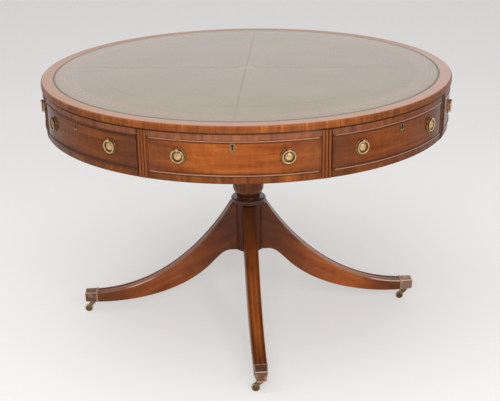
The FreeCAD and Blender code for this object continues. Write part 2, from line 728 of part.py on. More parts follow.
def pillar():
    """Pillar with a socket for the spindle and dovetailed slots, open below, for the legs."""
    socket = disc(SPINDLE_RADIUS, PILLAR_TOP - SPINDLE_SOCKET, PILLAR_TOP)
    slots = [spin(leg_tenon(BLOCK_BOTTOM), angle) for angle in leg_angles().values()]
    return pillar_blank().cut([socket] + slots)


def spindle():
    """Iron spindle, fixed in the pillar and standing up through the drum."""
    return disc(SPINDLE_RADIUS, PILLAR_TOP - SPINDLE_SOCKET, NUT_TOP)


def spindle_washer():
    """Washer between the hub block and the nut."""
    hole = disc(SPINDLE_RADIUS, WASHER_BOTTOM, NUT_BOTTOM)
    return disc(WASHER_RADIUS, WASHER_BOTTOM, NUT_BOTTOM).cut(hole)


def spindle_nut():
    """Six-sided nut that keeps the drum on its spindle."""
    corner = Vector(NUT_FLATS / math.sqrt(3), 0, 0)
    corners = [FreeCAD.Rotation(UP, 60 * index).multVec(corner) for index in range(6)]
    hexagon = Part.Face(Part.makePolygon(corners + corners[:1]))
    return raised(hexagon, NUT_BOTTOM, NUT_TOP).cut(disc(SPINDLE_RADIUS, NUT_BOTTOM, NUT_TOP))


def leg_top_curve():
    """Curve along the upper edge of a leg, from the pillar to the toe."""
    toe_top = LEG_TOE_BOTTOM + LEG_TOE_HEIGHT
    return [
        (LEG_TOP_REACH, BLOCK_TOP),
        (LEG_TOP_REACH + LEG_TOP_STEEP[0], BLOCK_TOP - LEG_TOP_STEEP[1]),
        (LEG_REACH - LEG_TOP_FLAT[0], toe_top + LEG_TOP_FLAT[1]),
        (LEG_REACH, toe_top)]


def leg_profile():
    """Side of a leg, from inside the pillar to the toe cap."""
    root = BLOCK_RADIUS - TENON_DEPTH
    heel = [
        (LEG_HEEL_REACH + LEG_HEEL_EASE, BLOCK_BOTTOM),
        (LEG_KNEE_REACH - LEG_KNEE_EASE[0], LEG_KNEE_HEIGHT + LEG_KNEE_EASE[1]),
        (LEG_KNEE_REACH, LEG_KNEE_HEIGHT)]
    under = [
        (LEG_KNEE_REACH + LEG_UNDER_STEEP[0], LEG_KNEE_HEIGHT - LEG_UNDER_STEEP[1]),
        (LEG_REACH - LEG_UNDER_FLAT[0], LEG_TOE_BOTTOM + LEG_UNDER_FLAT[1]),
        (LEG_REACH, LEG_TOE_BOTTOM)]
    upper = leg_top_curve()[::-1]
    return outline(
        side_view, (root, BLOCK_BOTTOM), [(LEG_HEEL_REACH, BLOCK_BOTTOM)], heel, under, upper[:1], upper[1:],
        [(root, BLOCK_TOP)])


def leg_plan():
    """Tapered plan of a leg."""
    root = LEG_ROOT_WIDTH / 2
    toe = LEG_TOE_WIDTH / 2
    return outline(plan_view, (-root, 0), [(root, 0)], [(toe, -LEG_REACH)], [(-toe, -LEG_REACH)])


def leg_quirks():
    """Cutters for the two grooves along the top of a leg, steep outside and sloping up to its middle."""
    deepest = LEG_ROOT_WIDTH / 2 - LEG_QUIRK_INSET
    slope = LEG_SLOPE_WIDTH * (1 + OVERCUT / LEG_QUIRK_DEPTH)
    end = LEG_REACH + OVERCUT
    wires = []
    for across, rise in ((deepest, -LEG_QUIRK_DEPTH), (deepest - slope, OVERCUT)):
        curve = [(reach, height + rise) for reach, height in leg_top_curve()]
        face = outline(
            side_view, curve[0], curve[1:], [(end, curve[-1][1])], [(end, BLOCK_TOP + 2 * OVERCUT)])
        wires.append(moved(face, across, 0, 0).OuterWire)
    strip = Part.makeLoft(wires, True, True)
    taper = math.degrees(math.atan((LEG_ROOT_WIDTH - LEG_TOE_WIDTH) / 2 / LEG_REACH))
    strip.rotate(Vector(LEG_ROOT_WIDTH / 2, 0, 0), UP, -taper)
    return [strip, mirrored(strip)]


def cap_plan(inset, near, far, level):
    """Plan of a toe cap at a level, drawn in at its sides, between two distances from the axis."""
    spread = (CAP_FRONT_WIDTH - CAP_FRONT_FOOT_WIDTH) * (level - CAP_BOTTOM) / CAP_HEIGHT
    taper = (CAP_FRONT_FOOT_WIDTH + spread - CAP_REAR_WIDTH) / CAP_LENGTH
    rear = (CAP_REAR_WIDTH + taper * (near - LEG_REACH)) / 2 - inset
    front = (CAP_REAR_WIDTH + taper * (far - LEG_REACH)) / 2 - inset
    plan = outline(plan_view, (-rear, -near), [(rear, -near)], [(front, -far)], [(-front, -far)])
    return moved(plan, 0, 0, level)


def cap_block(inset, near, far, low, high):
    """Block that narrows towards the lower edge of a toe cap's nose."""
    plans = [cap_plan(inset, near, far, level).OuterWire for level in (low, high)]
    return Part.makeLoft(plans, True, True)


def leg():
    """Front leg, before it is turned to its place."""
    height = (LEG_TOE_BOTTOM - LEG_TOE_HEIGHT, BLOCK_TOP + OVERCUT)
    blank = moved(leg_profile().extrude(ACROSS * LEG_ROOT_WIDTH), -LEG_ROOT_WIDTH / 2, 0, 0)
    blank = blank.common(raised(leg_plan(), *height)).cut(disc(BLOCK_RADIUS, *height))
    upper_edges = []
    for edge in blank.Edges:
        if edge.Length > LEG_REACH and edge.BoundBox.ZMax > BLOCK_TOP - OVERCUT:
            upper_edges.append(edge)
    blank = blank.makeFillet(LEG_EDGE_ROUND, upper_edges).cut(leg_quirks())
    toe_low = CAP_BOTTOM + CAP_WALL
    toe_high = CAP_BOTTOM + CAP_HEIGHT - CAP_WALL
    toe = cap_block(CAP_WALL, LEG_REACH, CAP_END - CAP_WALL, toe_low, toe_high)
    hole = Part.makeCylinder(
        KINGPIN_RADIUS + KINGPIN_HOLE_PLAY, FORK_TOP + KINGPIN_LENGTH + KINGPIN_HOLE_PLAY - toe_low,
        Vector(0, -CASTOR_PIN_REACH, toe_low))
    return blank.fuse([leg_tenon(BLOCK_BOTTOM + TENON_RISE), toe.cut(hole)]).removeSplitter()


def brace_plate():
    """Iron plate under the pillar, with an arm under the root of each leg."""
    low = BLOCK_BOTTOM - BRACE_THICKNESS
    half = BRACE_ARM_WIDTH / 2
    arm = box((-half, half), (-BRACE_ARM_REACH, 0), (low, BLOCK_BOTTOM))
    arms = [spin(arm, angle) for angle in leg_angles().values()]
    return disc(BRACE_RADIUS, low, BLOCK_BOTTOM).fuse(arms).removeSplitter()


def toe_cap():
    """Brass box over the toe of the front leg, lipped at its mouth and bored for the castor."""
    high = CAP_BOTTOM + CAP_HEIGHT
    shell = cap_block(0, LEG_REACH, CAP_END, CAP_BOTTOM, high)
    nose_edges = []
    for edge in shell.Edges:
        if edge.BoundBox.YMin < OVERCUT - CAP_END and edge.BoundBox.ZMax > high - OVERCUT:
            nose_edges.append(edge)
    shell = shell.makeFillet(CAP_ROUND, nose_edges)
    lip = cap_block(
        -CAP_LIP_PROUD, LEG_REACH, LEG_REACH + CAP_LIP_LENGTH, CAP_BOTTOM, high + CAP_LIP_PROUD)
    hollow = cap_block(
        CAP_WALL, LEG_REACH, CAP_END - CAP_WALL, CAP_BOTTOM + CAP_WALL, high - CAP_WALL)
    bore = Part.makeCylinder(
        KINGPIN_RADIUS + PIVOT_PLAY, CAP_WALL, Vector(0, -CASTOR_PIN_REACH, CAP_BOTTOM))
    return shell.fuse(lip).removeSplitter().cut([hollow, bore])


def castor_wheel():
    """Small brass wheel with a rounded tread and dished faces, on the axle's own axis."""
    half = WHEEL_WIDTH / 2
    shoulder = WHEEL_RADIUS - WHEEL_ROUND
    bore = AXLE_RADIUS + PIVOT_PLAY
    slope = WHEEL_ROUND * (1 - math.sqrt(0.5))

    def across_view(radius, offset):
        return Vector(offset, 0, radius)

    profile = outline(
        across_view, (bore, -half), [(WHEEL_HUB_RADIUS, -half)],
        [(WHEEL_HUB_RADIUS + WHEEL_DISH, WHEEL_DISH - half)], [(shoulder - WHEEL_DISH, WHEEL_DISH - half)],
        [(shoulder, -half)], [(WHEEL_RADIUS - slope, slope - half), (WHEEL_RADIUS, WHEEL_ROUND - half)],
        [(WHEEL_RADIUS, half - WHEEL_ROUND)], [(WHEEL_RADIUS - slope, half - slope), (shoulder, half)],
        [(shoulder - WHEEL_DISH, half - WHEEL_DISH)], [(WHEEL_HUB_RADIUS + WHEEL_DISH, half - WHEEL_DISH)],
        [(WHEEL_HUB_RADIUS, half)], [(bore, half)])
    wheel = profile.revolve(ORIGIN, ACROSS, 360)
    return moved(wheel, 0, -CASTOR_TRAIL, AXLE_HEIGHT)


def castor_axle():
    """Pin riveted through both cheeks of a fork."""
    start = Vector(-FORK_WIDTH / 2, -CASTOR_TRAIL, AXLE_HEIGHT)
    return Part.makeCylinder(AXLE_RADIUS, FORK_WIDTH, start, ACROSS)


def castor_fork():
    """Horn-shaped fork that trails behind its kingpin and straddles the wheel."""
    plate_bottom = FORK_TOP - FORK_PLATE_THICKNESS
    near = CASTOR_TRAIL - AXLE_BOSS
    far = CASTOR_TRAIL + AXLE_BOSS
    drop = (plate_bottom - AXLE_HEIGHT) / 2
    horn = outline(
        side_view, (-FORK_NECK, plate_bottom),
        [(-FORK_NECK, plate_bottom - drop), (near, AXLE_HEIGHT + drop), (near, AXLE_HEIGHT)],
        [(CASTOR_TRAIL, AXLE_HEIGHT - AXLE_BOSS), (far, AXLE_HEIGHT)],
        [(far, AXLE_HEIGHT + drop), (FORK_NECK, plate_bottom - drop), (FORK_NECK, plate_bottom)])
    body = moved(horn.extrude(ACROSS * FORK_WIDTH), -FORK_WIDTH / 2, 0, 0)
    slot = Part.makeCylinder(
        WHEEL_RADIUS + TREAD_GAP, SLOT_WIDTH, Vector(-SLOT_WIDTH / 2, -CASTOR_TRAIL, AXLE_HEIGHT), ACROSS)
    plate = disc(FORK_PLATE_RADIUS, plate_bottom, FORK_TOP)
    kingpin = disc(KINGPIN_RADIUS, FORK_TOP, FORK_TOP + KINGPIN_LENGTH)
    return body.cut(slot).fuse([plate, kingpin]).removeSplitter().cut(castor_axle())


def at_castor(shape, angle):
    """A castor's piece headed its way and moved under the toe of the leg at an angle."""
    pin = spin(Part.Vertex(0, -CASTOR_PIN_REACH, 0), angle).Point
    return moved(spin(shape, CASTOR_HEADING), pin.x, pin.y, 0)


def save_base():
    """Pillar, legs, toe caps and castors."""
    save("pillar", pillar())
    save("pivot_spindle", spindle())
    save("spindle_nut", spindle_washer(), spindle_nut())
    save("lower_bearing_plate", bearing_plate(PILLAR_TOP, SPINDLE_RADIUS))
    save("brace_plate", brace_plate())
    save("toe_caps", *[spin(toe_cap(), angle) for angle in leg_angles().values()])
    for name, angle in leg_angles().items():
        save("leg_" + name, spin(leg(), angle))
        save("castor_fork_" + name, at_castor(castor_fork(), angle), at_castor(castor_axle(), angle))
        save("castor_wheel_" + name, at_castor(castor_wheel(), angle))


def save_drum():
    """Top, walls, inner frame, false fronts and drawers."""
    save("top_board", top_board())
    save("top_banding", top_banding())
    save("leather_quarters", *leather_quarters())
    save("upper_rail", upper_rail())
    save("lower_rail", lower_rail())
    save("reeded_stiles", *stiles())
    save("drum_floor", drum_floor())
    save("partition_boards", *partition_boards())
    save("drawer_runners", *guide_strips(FLOOR_TOP, SIDE_BOTTOM - RUNNER_PLAY))
    save("drawer_kickers", *guide_strips(SIDE_TOP + KICKER_PLAY, TOP_UNDERSIDE))
    save("hub_block", hub_block())
    save("upper_bearing_plate", bearing_plate(FLOOR_BOTTOM - BEARING_THICKNESS, SPINDLE_RADIUS + PIVOT_PLAY))
    save_false_fronts()
    for name, angle in DRAWER_SPINS.items():
        save_drawer(name, angle)


os.makedirs("parts", exist_ok=True)
save_base()
save_drum()
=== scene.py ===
import json
import math

import bmesh
import bpy
from mathutils import Matrix, Vector


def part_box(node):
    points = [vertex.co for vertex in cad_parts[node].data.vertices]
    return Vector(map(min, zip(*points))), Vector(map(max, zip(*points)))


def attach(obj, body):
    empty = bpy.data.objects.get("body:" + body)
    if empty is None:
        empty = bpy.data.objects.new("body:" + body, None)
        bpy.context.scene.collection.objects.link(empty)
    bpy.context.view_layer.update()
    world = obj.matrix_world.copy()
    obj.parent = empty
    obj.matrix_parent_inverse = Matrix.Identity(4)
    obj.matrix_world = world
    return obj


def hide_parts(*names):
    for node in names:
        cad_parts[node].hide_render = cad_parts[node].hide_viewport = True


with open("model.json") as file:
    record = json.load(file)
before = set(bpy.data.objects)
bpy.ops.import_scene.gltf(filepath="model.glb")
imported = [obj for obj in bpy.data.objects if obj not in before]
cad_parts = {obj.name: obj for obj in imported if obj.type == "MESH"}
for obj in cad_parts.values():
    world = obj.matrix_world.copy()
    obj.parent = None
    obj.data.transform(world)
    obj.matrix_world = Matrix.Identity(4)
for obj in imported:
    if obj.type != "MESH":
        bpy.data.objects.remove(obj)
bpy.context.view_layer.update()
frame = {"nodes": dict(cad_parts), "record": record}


# Pillar: one solid mahogany turning, with a plain block for the legs below a collar and a vase above it.
# Its grain runs up its length. It is French polished, and painted shade darkens its collar, the neck and the block
# below them.
def put(tree, kind, inputs=None, **settings):
    """Adds a shader node. Each of its inputs is a plain value or the socket that feeds it."""
    new = tree.nodes.new("ShaderNode" + kind)
    for name, value in settings.items():
        setattr(new, name, value)
    for key, value in (inputs or {}).items():
        if isinstance(value, bpy.types.NodeSocket):
            tree.links.new(value, new.inputs[key])
        else:
            new.inputs[key].default_value = value
    return new


def calc(tree, operation, *values):
    """The result of a Math node."""
    return put(tree, "Math", dict(enumerate(values)), operation=operation).outputs[0]


def times(tree, product, *values):
    """The product of two or more values."""
    for value in values:
        product = calc(tree, "MULTIPLY", product, value)
    return product


def most(tree, largest, *values):
    """The largest of two or more values."""
    for value in values:
        largest = calc(tree, "MAXIMUM", largest, value)
    return largest


def fade(tree, value, start, end):
    """Goes smoothly from 0 where the value is start to 1 where it is end."""
    limits = {"Value": value, "From Min": start, "From Max": end}
    return put(tree, "MapRange", limits, interpolation_type="SMOOTHSTEP").outputs["Result"]


def between(tree, share, first, second):
    """Goes evenly from first where the share is 0 to second where it is 1."""
    return calc(tree, "MULTIPLY_ADD", share, second - first, first)


def apart(tree, value, level):
    """How far a value lies from a level, above or below it."""
    return calc(tree, "ABSOLUTE", calc(tree, "SUBTRACT", value, level))


def axis(tree, place, letter):
    """One coordinate of a place."""
    return put(tree, "SeparateXYZ", {0: place}).outputs[letter]


def mixed(tree, share, first, second, way="MIX"):
    """Two colours mixed, with a share of the second."""
    return put(tree, "Mix", {0: share, 6: first, 7: second}, data_type="RGBA", blend_type=way).outputs[2]


def joined(tree, x, y, z):
    """A vector from three values."""
    return put(tree, "CombineXYZ", {"X": x, "Y": y, "Z": z}).outputs[0]


def moved(tree, operation, vector, other):
    """A vector that another one is added to, or that is scaled by it."""
    return put(tree, "VectorMath", {0: vector, 1: other}, operation=operation).outputs[0]


def noise(tree, vector, detail):
    """Noise from 0 to 1, with lumps of about one unit."""
    return put(tree, "TexNoise", {"Vector": vector, "Scale": 1.0, "Detail": detail}).outputs["Fac"]


def cloud(tree, vector, size, detail=2.0):
    """Noise from 0 to 1, with lumps of about that size in metres: one for all the axes, or one for each."""
    sizes = size if isinstance(size, tuple) else (size,) * 3
    return noise(tree, moved(tree, "MULTIPLY", vector, [1 / length for length in sizes]), detail)


def shader_group(name, given, made):
    """An empty group with named sockets: its tree, and the sockets that feed it and that it feeds."""
    tree = bpy.data.node_groups.new(name, "ShaderNodeTree")
    for way, sockets in (("INPUT", given), ("OUTPUT", made)):
        for label, kind in sockets.items():
            tree.interface.new_socket(label, in_out=way, socket_type="NodeSocket" + kind)
    return tree, tree.nodes.new("NodeGroupInput").outputs, tree.nodes.new("NodeGroupOutput").inputs


def wood_grain():
    """Figured wood whose grain runs along X: stripes, fibres, cross figure and open pores."""
    stripe_length, sway_width = 0.17, 0.022
    wander_size, fibre_size, figure_size = (0.22, 0.06, 0.06), (0.04, 0.0009, 0.0009), (0.012, 0.03, 0.03)
    pore_size, smear_size = (0.007, 0.0005, 0.0005), (0.09, 0.05, 0.05)
    pore_range, middle_range, light_range, smear_dullness = (0.6, 0.72), (0.3, 0.5), (0.48, 0.7), (0.26, 0.48)
    stripe_share, fibre_share, pore_share, pore_dulls, fibre_rise = 0.75, 0.25, 0.55, 0.12, 0.3
    tree, given, made = shader_group(
        "wood grain",
        {"Vector": "Vector", "Stripe": "Float", "Figure": "Float",
         "Dark": "Color", "Middle": "Color", "Light": "Color"},
        {"Color": "Color", "Roughness": "Float", "Height": "Float"})
    wander = calc(tree, "SUBTRACT", cloud(tree, given["Vector"], wander_size, 1.0), 0.5)
    sway = times(tree, wander, sway_width)
    swayed = moved(tree, "ADD", given["Vector"], joined(tree, 0.0, sway, sway))
    across = calc(tree, "DIVIDE", 1.0, given["Stripe"])
    stripes = noise(tree, moved(tree, "MULTIPLY", swayed, joined(tree, 1 / stripe_length, across, across)), 4.0)
    fibres = cloud(tree, swayed, fibre_size)
    figure = calc(tree, "SUBTRACT", cloud(tree, given["Vector"], figure_size, 3.0), 0.5)
    pores = fade(tree, cloud(tree, swayed, pore_size, 1.0), *pore_range)
    tone = calc(tree, "MULTIPLY_ADD", stripes, stripe_share, times(tree, fibres, fibre_share))
    tone = calc(tree, "MULTIPLY_ADD", figure, given["Figure"], tone)
    colour = mixed(tree, fade(tree, tone, *middle_range), given["Dark"], given["Middle"])
    colour = mixed(tree, fade(tree, tone, *light_range), colour, given["Light"])
    colour = mixed(tree, times(tree, pores, pore_share), colour, given["Dark"])
    smears = between(tree, cloud(tree, given["Vector"], smear_size, 3.0), *smear_dullness)
    tree.links.new(colour, made["Color"])
    tree.links.new(calc(tree, "MULTIPLY_ADD", pores, pore_dulls, smears), made["Roughness"])
    tree.links.new(calc(tree, "SUBTRACT", times(tree, fibres, fibre_rise), pores), made["Height"])
    return tree


GRAIN = wood_grain()
# The grime colour darkens both old wax and painted shade, and the rubbed colour paints both rubbed wood and painted
# highlights.
GRIME_AND_SHADE = (0.018, 0.009, 0.006, 1.0)
RUBBED_AND_LIT = (0.37, 0.15, 0.06, 1.0)
MAHOGANY = {
    "Dark": (0.155, 0.034, 0.007, 1.0), "Middle": (0.255, 0.062, 0.009, 1.0), "Light": (0.36, 0.10, 0.015, 1.0)}


def aged_polish():
    """Old polish over a leaf of grain: the tint of the leaf, which may hold painted light, the paler wood where it
    is rubbed or painted as lit, and the grime and painted shade.
    """
    rubbed_share, grime_share, grime_dulls = 0.4, 0.75, 0.2
    tree, given, made = shader_group(
        "aged polish",
        {"Color": "Color", "Roughness": "Float", "Tint": "Color", "Grime And Shade": "Float", "Wear And Highlight": "Float",
         "Rubbed To": "Color"},
        {"Color": "Color", "Roughness": "Float"})
    colour = mixed(tree, 1.0, given["Color"], given["Tint"], "MULTIPLY")
    colour = mixed(tree, times(tree, given["Wear And Highlight"], rubbed_share), colour, given["Rubbed To"])
    colour = mixed(tree, times(tree, given["Grime And Shade"], grime_share), colour, GRIME_AND_SHADE)
    tree.links.new(colour, made["Color"])
    tree.links.new(calc(tree, "MULTIPLY_ADD", given["Grime And Shade"], grime_dulls, given["Roughness"]), made["Roughness"])
    return tree


AGED_POLISH = aged_polish()
PORE_DEPTH = 0.00004


def material_with(name, **constants):
    """A new material: its tree, its shader with constant sockets set, and Object coordinates."""
    material = bpy.data.materials.new(name)
    material.use_nodes = True
    tree = material.node_tree
    shader = tree.nodes["Principled BSDF"]
    for label, value in constants.items():
        shader.inputs[label.replace("_", " ").title().replace("Ior", "IOR")].default_value = value
    return material, tree, shader, put(tree, "TexCoord").outputs["Object"]


def grouped(tree, group, inputs):
    """Places a group in a material. The sockets that it puts out."""
    return put(tree, "Group", inputs, node_tree=group).outputs


def raise_surface(tree, shader, height, depth):
    """Feeds a height into the shader's normal, as a bump of that depth in metres."""
    bump = put(tree, "Bump", {"Height": height, "Distance": depth, "Strength": 1.0})
    tree.links.new(bump.outputs["Normal"], shader.inputs["Normal"])


def mahogany(name, lay_out, stripe, figure, polish, polish_ior=1.5, colours=MAHOGANY, glossy=None, rubbed_to=RUBBED_AND_LIT):
    """French polished mahogany. lay_out gives the grain's vector, its grime and painted shade, its rubbing and
    painted highlights, and a tint of the leaf that may hold painted light, and glossy gives where it is polished to
    a full gloss."""
    material, tree, shader, place = material_with(
        name, coat_weight=polish, coat_roughness=0.1, coat_ior=polish_ior, specular_ior_level=0.08)
    vector, grime_and_shade, rubbed, tint = lay_out(tree, place)
    grain = grouped(tree, GRAIN, {"Vector": vector, "Stripe": stripe, "Figure": figure, **colours})
    aged = grouped(tree, AGED_POLISH, {
        "Color": grain["Color"], "Roughness": grain["Roughness"], "Tint": tint, "Grime And Shade": grime_and_shade, "Wear And Highlight": rubbed,
        "Rubbed To": rubbed_to})
    tree.links.new(aged["Color"], shader.inputs["Base Color"])
    tree.links.new(aged["Roughness"], shader.inputs["Roughness"])
    raise_surface(tree, shader, grain["Height"], PORE_DEPTH)
    if glossy:
        tree.links.new(between(tree, glossy(tree, place), polish, 1.0), shader.inputs["Coat Weight"])
    return material


def dress(material, *nodes):
    """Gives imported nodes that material."""
    for name in nodes:
        frame["nodes"][name].material_slots[0].material = material


def turned_about(tree, place, tilt, turn):
    """Coordinates with X along a grain that is turned about Z and then tilted down, in degrees."""
    return put(tree, "Mapping", {"Vector": place, "Rotation": (0.0, math.radians(tilt), math.radians(turn))},
               vector_type="TEXTURE").outputs[0]


def pillar_layout(tree, place):
    """Grain up the pillar. Painted shade blackens the collar and its neck and darkens the block below them, over
    dull patches of old wax.
    """
    collar, collar_half, fade_out, block_drop = 0.366, 0.016, 0.012, 0.02
    patch_size, patch_range, patch_dulls, patch_rub = 0.03, (0.25, 0.75), 0.25, 0.2
    collar_shade_share, block_shade_share, tint = 0.82, 0.6, (0.80, 0.77, 0.76, 1.0)
    z = axis(tree, place, "Z")
    patches = fade(tree, cloud(tree, place, patch_size, 3.0), *patch_range)
    # Painted shade: the collar and its neck are blackened, and the block below them is darkened.
    collar_shade = times(tree, fade(tree, apart(tree, z, collar), collar_half + fade_out, collar_half), collar_shade_share)
    block_shade = times(tree, fade(tree, z, collar, collar - block_drop), block_shade_share)
    dull = calc(tree, "MULTIPLY_ADD", patches, patch_dulls, block_shade)
    return turned_about(tree, place, -90, 0), most(tree, collar_shade, dull), times(tree, patches, patch_rub), tint


def on_collar(tree, place):
    """The collar and its neck, which keep a full gloss over their painted shade."""
    foot, head = (0.348, 0.356), (0.40, 0.385)
    z = axis(tree, place, "Z")
    return times(tree, fade(tree, z, *foot), fade(tree, z, *head))


dress(mahogany("turned mahogany", pillar_layout, stripe=0.012, figure=0.35, polish=0.3, glossy=on_collar), "pillar")


# Pivot: an iron spindle let into the head of the pillar, with its washer and nut, and two iron bearing plates
# that the drum turns on. The brace under the block is a cut iron plate that ties the leg roots together.
def iron_finish():
    """Blackened iron, with brown rust in patches."""
    collar_shade, brown = (0.045, 0.043, 0.042, 1.0), (0.14, 0.06, 0.028, 1.0)
    rust_size, rust_range, dullness, pit_size, pit_depth = 0.012, (0.5, 0.72), (0.45, 0.75), 0.0015, 0.0002
    material, tree, shader, place = material_with("blackened iron", metallic=0.7)
    rust = fade(tree, cloud(tree, place, rust_size, 5.0), *rust_range)
    tree.links.new(mixed(tree, rust, collar_shade, brown), shader.inputs["Base Color"])
    tree.links.new(between(tree, rust, *dullness), shader.inputs["Roughness"])
    raise_surface(tree, shader, cloud(tree, place, pit_size, 3.0), pit_depth)
    return material


dress(iron_finish(), "pivot_spindle", "spindle_nut", "lower_bearing_plate", "upper_bearing_plate", "brace_plate")


# Sabre legs: four swept legs sawn from solid mahogany boards and dovetailed into the pillar's block.
# Each board's straight grain runs from root to toe. The top is grooved along both edges, and shoes rub it. Painted
# shade darkens the roots and grooves, and painted sheen, glow and glints lighten the side legs.
LEGS = ("front", "right", "back", "left")
GRAIN_SLOPE = 27.0
TOP_RISE = (0.1, 0.3)


def leg_turn(name):
    """The way that a leg points, in degrees from +X, told from the pin of its castor."""
    pins = {joint["name"]: joint.get("pos_m") for joint in frame["record"]["behaviour"]["joints"]}
    x, y = pins["castor_" + name + "_swivel"][:2]
    return math.degrees(math.atan2(y, x))


def upward(tree, start, end):
    """How far a face looks up, from 0 where its normal rises by start to 1 where it rises by end."""
    return fade(tree, axis(tree, put(tree, "TexCoord").outputs["Normal"], "Z"), start, end)


def without(tree, value, mask):
    """A value that a mask takes away where it is 1."""
    return times(tree, value, calc(tree, "SUBTRACT", 1.0, mask))


def leg_layout(turn, root_shade, top_rub_and_sheen, mid_light, worn):
    """The layout of one leg's board. Painted shade darkens its root, painted shade with some wax darkens the grooves
    along its top, and the toe is darker. Shoes have rubbed its top and the raised strip between the grooves, which
    are also painted paler as sheen and highlight, and a painted glow lights the middle of the sweep. The edges of
    the top may carry a painted pale glint over one run."""
    root_half, toe_half, reach = 0.0205, 0.018, 0.472
    groove_inset, shoulder_inset, edge_inset = 0.005, 0.013, 0.0018
    root_run, toe_run, shoulder_run = (0.23, 0.06), (0.33, 0.45), (0.1, 0.25)
    sweep_start, sweep_end, glint_fade = (0.1, 0.24), (0.42, 0.3), 0.03
    groove_width, shoulder_width, patch_size, patch_range = (0.0022, 0.0006), (0.004, 0.001), 0.05, (0.3, 0.75)
    toe_dark, groove_grime_and_shade, cleaned, patch_rub, less_rub, glint_strength = 0.58, 0.85, 0.4, 0.3, 0.3, 2.3
    plain, lit_middle = (1.04, 0.98, 0.93, 1.0), (1.06 * mid_light, 0.98 * mid_light, 0.9 * mid_light, 1.0)

    def lay_out(tree, place):
        x, y = put(tree, "SeparateXYZ", {0: turned_about(tree, place, 0, turn)}).outputs[:2]
        above = upward(tree, *TOP_RISE)
        half = calc(tree, "MULTIPLY_ADD", x, (toe_half - root_half) / reach, root_half)
        inset = calc(tree, "SUBTRACT", half, calc(tree, "ABSOLUTE", y))
        patches = fade(tree, cloud(tree, place, patch_size, 3.0), *patch_range)
        groove = times(tree, fade(tree, apart(tree, inset, groove_inset), *groove_width), above)
        shoulder = times(tree, fade(tree, apart(tree, inset, shoulder_inset), *shoulder_width), above)
        # Painted shade at the root, a darker toe, and painted shade with some wax in the grooves.
        grime_and_shade = most(tree, times(tree, fade(tree, x, *root_run), root_shade),
                     times(tree, fade(tree, x, *toe_run), toe_dark), times(tree, groove, groove_grime_and_shade))
        grime_and_shade = times(tree, grime_and_shade, between(tree, above, 1.0, 1.0 - cleaned * top_rub_and_sheen))
        # Painted sheen and highlight: the shoulder line and the top are painted paler, besides rubbed patches.
        rubbed = most(tree, times(tree, shoulder, fade(tree, x, *shoulder_run)),
                      times(tree, patches, patch_rub), times(tree, above, top_rub_and_sheen))
        # Painted glint: worn marks a run where the top's edges are painted as a pale glint line.
        if worn:
            start, end = worn
            run = times(tree, fade(tree, x, start - glint_fade, start), fade(tree, x, end + glint_fade, end))
            edge = times(tree, fade(tree, inset, 2 * edge_inset, edge_inset), above, run)
            rubbed = most(tree, times(tree, rubbed, less_rub), times(tree, edge, glint_strength))
            grime_and_shade = without(tree, grime_and_shade, edge)
        # Painted glow: the middle of the sweep is tinted brighter, as if lit.
        swept = times(tree, fade(tree, x, *sweep_start), fade(tree, x, *sweep_end))
        return turned_about(tree, place, GRAIN_SLOPE, turn), grime_and_shade, rubbed, mixed(tree, swept, plain, lit_middle)
    return lay_out


def leg_top(shine):
    """The top of a leg, which shoes have polished to a share of a full gloss."""
    return lambda tree, place: times(tree, upward(tree, *TOP_RISE), shine)


# A pale colour for painted glints and for the rubbed wood of the side legs.
PALE_RUB_AND_GLINT = (0.78, 0.56, 0.43, 1.0)
# The front and back legs carry the most painted shade at the root and no painted sheen.
SHADED_LEG = {"root_shade": 0.96, "top_rub_and_sheen": 0.0, "mid_light": 1.05, "worn": None}
RIGHT_LEG = {"root_shade": 0.76, "top_rub_and_sheen": 1.0, "mid_light": 1.45, "worn": (0.39, 0.47)}
LEFT_LEG = {"root_shade": 0.74, "top_rub_and_sheen": 1.0, "mid_light": 1.08, "worn": (0.31, 0.36)}
for leg, wear, polish, shine in (("front", SHADED_LEG, 0.2, 0.0), ("right", RIGHT_LEG, 0.36, 0.8),
                                 ("back", SHADED_LEG, 0.2, 0.0), ("left", LEFT_LEG, 0.36, 0.25)):
    leg_finish = mahogany(
        "leg mahogany " + leg, leg_layout(leg_turn(leg), **wear), stripe=0.02, figure=0.15, polish=polish,
        glossy=leg_top(shine) if shine else None, rubbed_to=PALE_RUB_AND_GLINT if wear["worn"] else RUBBED_AND_LIT)
    dress(leg_finish, "leg_" + leg)


